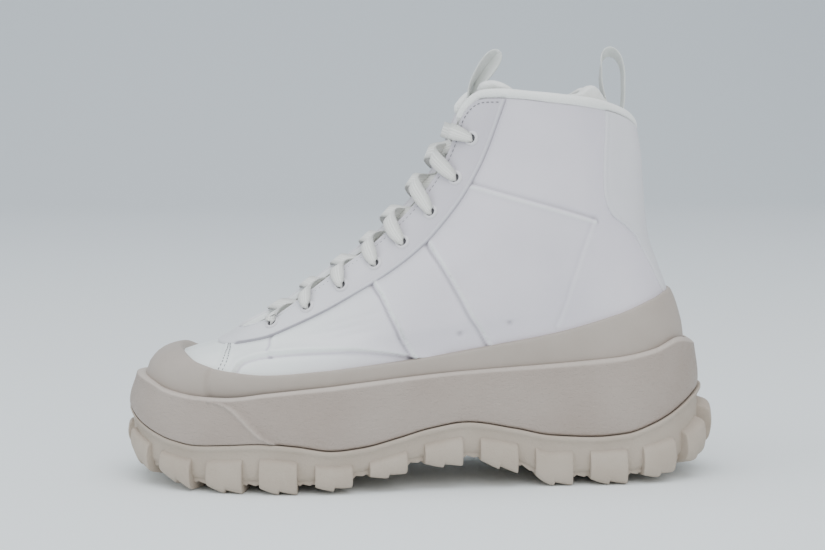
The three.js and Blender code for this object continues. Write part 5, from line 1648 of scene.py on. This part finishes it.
def stage():
    """A pale floor that curves up behind the shoe."""
    t = np.linspace(0, 1, 40)
    depth = np.concatenate([[1.6], mix(1.0, -2.2, t[:20] / t[19]), -2.2 - 1.4 * np.sin(t * np.pi / 2)])
    height = np.concatenate([[0], np.zeros(20), 1.4 * (1 - np.cos(t * np.pi / 2))])
    depth, height = np.append(depth, -3.6), np.append(height, 4.5)
    across = np.linspace(-5, 5, 3)
    verts = [(x, y, z) for y, z in zip(depth, height) for x in across]
    faces = [tuple(int(v) for v in f) for f in grid_faces(len(depth), 3, 0, False, False)]
    mesh = bpy.data.meshes.new("studio_floor")
    mesh.from_pydata(verts, [], faces)
    mesh.polygons.foreach_set("use_smooth", np.ones(len(faces), bool))
    floor = bpy.data.objects.new("studio_floor", mesh)
    bpy.context.scene.collection.objects.link(floor)
    material, tree, shader = new_material("floor_with_painted_shade", "#D3D7D9", 0.75)
    place = node(tree, "ShaderNodeTexCoord").outputs["Object"]
    away = node(tree, "ShaderNodeSeparateXYZ", links={"Vector": place}).outputs["Y"]
    # Painted shade: the floor and backdrop darken towards the back, where the light falls off
    limits = {"From Min": -3.2, "From Max": 0.4}
    depth = node(tree, "ShaderNodeMapRange", limits, {"Value": away}).outputs["Result"]
    stops = {"stops": [(0.0, "#C8CFD4"), (0.45, "#D8DDE0"), (1.0, "#F8FDFD")]}
    shade = node(tree, "ShaderNodeValToRGB", stops, {"Fac": depth})
    tree.links.new(shade.outputs["Color"], shader.inputs["Base Color"])
    paint = node(tree, "ShaderNodeTexNoise", {"Scale": 1000 / 4, "Detail": 2.0}, {"Vector": place})
    join_bump(tree, shader, [(paint.outputs["Fac"], 0.2, 0.1)])
    mesh.materials.append(material)
    if mesh.polygons[0].normal.z < 0:
        mesh.flip_normals()


def area_light(name, location, target, size, power, colour):
    light = bpy.data.lights.new(name, "AREA")
    light.shape = "RECTANGLE"
    light.size, light.size_y = size
    light.energy = power
    light.color = linear(colour)[:3]
    holder = bpy.data.objects.new(name, light)
    holder.location = location
    direction = Vector(target) - Vector(location)
    holder.rotation_euler = direction.to_track_quat("-Z", "Y").to_euler()
    bpy.context.scene.collection.objects.link(holder)


def lights():
    """A wide soft light over the shoe, one from the front, a weak one at the toe, one on the backdrop, and
    an even pale sky."""
    area_light("overhead_softbox", (0.1, 0.3, 1.9), (0, 0, 0.05), (2.4, 1.8), 30, "#F6FAFF")
    area_light("front_softbox", (-0.4, 2.4, 1.3), (0, 0, 0.1), (2.4, 1.8), 24, "#FFFDFB")
    area_light("toe_softbox", (1.8, 0.6, 0.9), (0, 0, 0.08), (1.2, 1.2), 8, "#F4FAFF")
    area_light("backdrop_softbox", (0, -1.6, 1.9), (0, -3.1, 0.3), (3.0, 0.8), 22, "#F6FAFF")
    world = bpy.data.worlds.new("pale_sky")
    world.use_nodes = True
    background = world.node_tree.nodes["Background"]
    background.inputs["Color"].default_value = linear("#DDE1E5")
    background.inputs["Strength"].default_value = 0.88
    bpy.context.scene.world = world


# The camera stands level with the collar on the outer side, a little behind the middle, looking slightly down
CAMERA_AWAY = 950.0
CAMERA_HEIGHT = 192.5
CAMERA_YAW = math.radians(5)
CAMERA_SIDE = -5.9
CAMERA_FORWARD = -1.1
EYE_ROW = 90.0
FOCAL_PIXELS = 1900.0
FRAME_WIDTH, FRAME_HEIGHT = 825.0, 550.0


def camera():
    """The photograph's view: a forward direction from yaw and pitch, and a lens from the focal length."""
    pitch = math.atan((FRAME_HEIGHT / 2 - EYE_ROW) / FOCAL_PIXELS)
    forward = Vector(
        (-math.sin(CAMERA_YAW) * math.cos(pitch), -math.cos(CAMERA_YAW) * math.cos(pitch), -math.sin(pitch))
    )
    right = forward.cross(Vector((0, 0, 1))).normalized()
    upward = right.cross(forward)
    centre = Vector((CAMERA_AWAY * math.sin(CAMERA_YAW), CAMERA_AWAY * math.cos(CAMERA_YAW), CAMERA_HEIGHT))
    centre += right * CAMERA_SIDE + Vector((CAMERA_FORWARD, MIDDLE, 0))
    made = bpy.data.cameras.new("photo_camera")
    made.sensor_width = 36.0
    made.lens = 36.0 * FOCAL_PIXELS / FRAME_WIDTH
    made.clip_end = 50
    holder = bpy.data.objects.new("photo_camera", made)
    turn = Matrix((right, upward, -forward)).transposed().to_4x4()
    holder.matrix_world = Matrix.Translation(centre * 0.001) @ turn
    bpy.context.scene.collection.objects.link(holder)
    bpy.context.scene.camera = holder


upper_shell()
upper_lining()
eyestay()
heel_tab()
collar_binding()
heel_padding()
tongue()
insole()
foxing_band()
midsole_cup()
outsole_base()
laces()
eyelet_rings()
pull_loops()
stitch_lines()
stage()
lights()
camera()
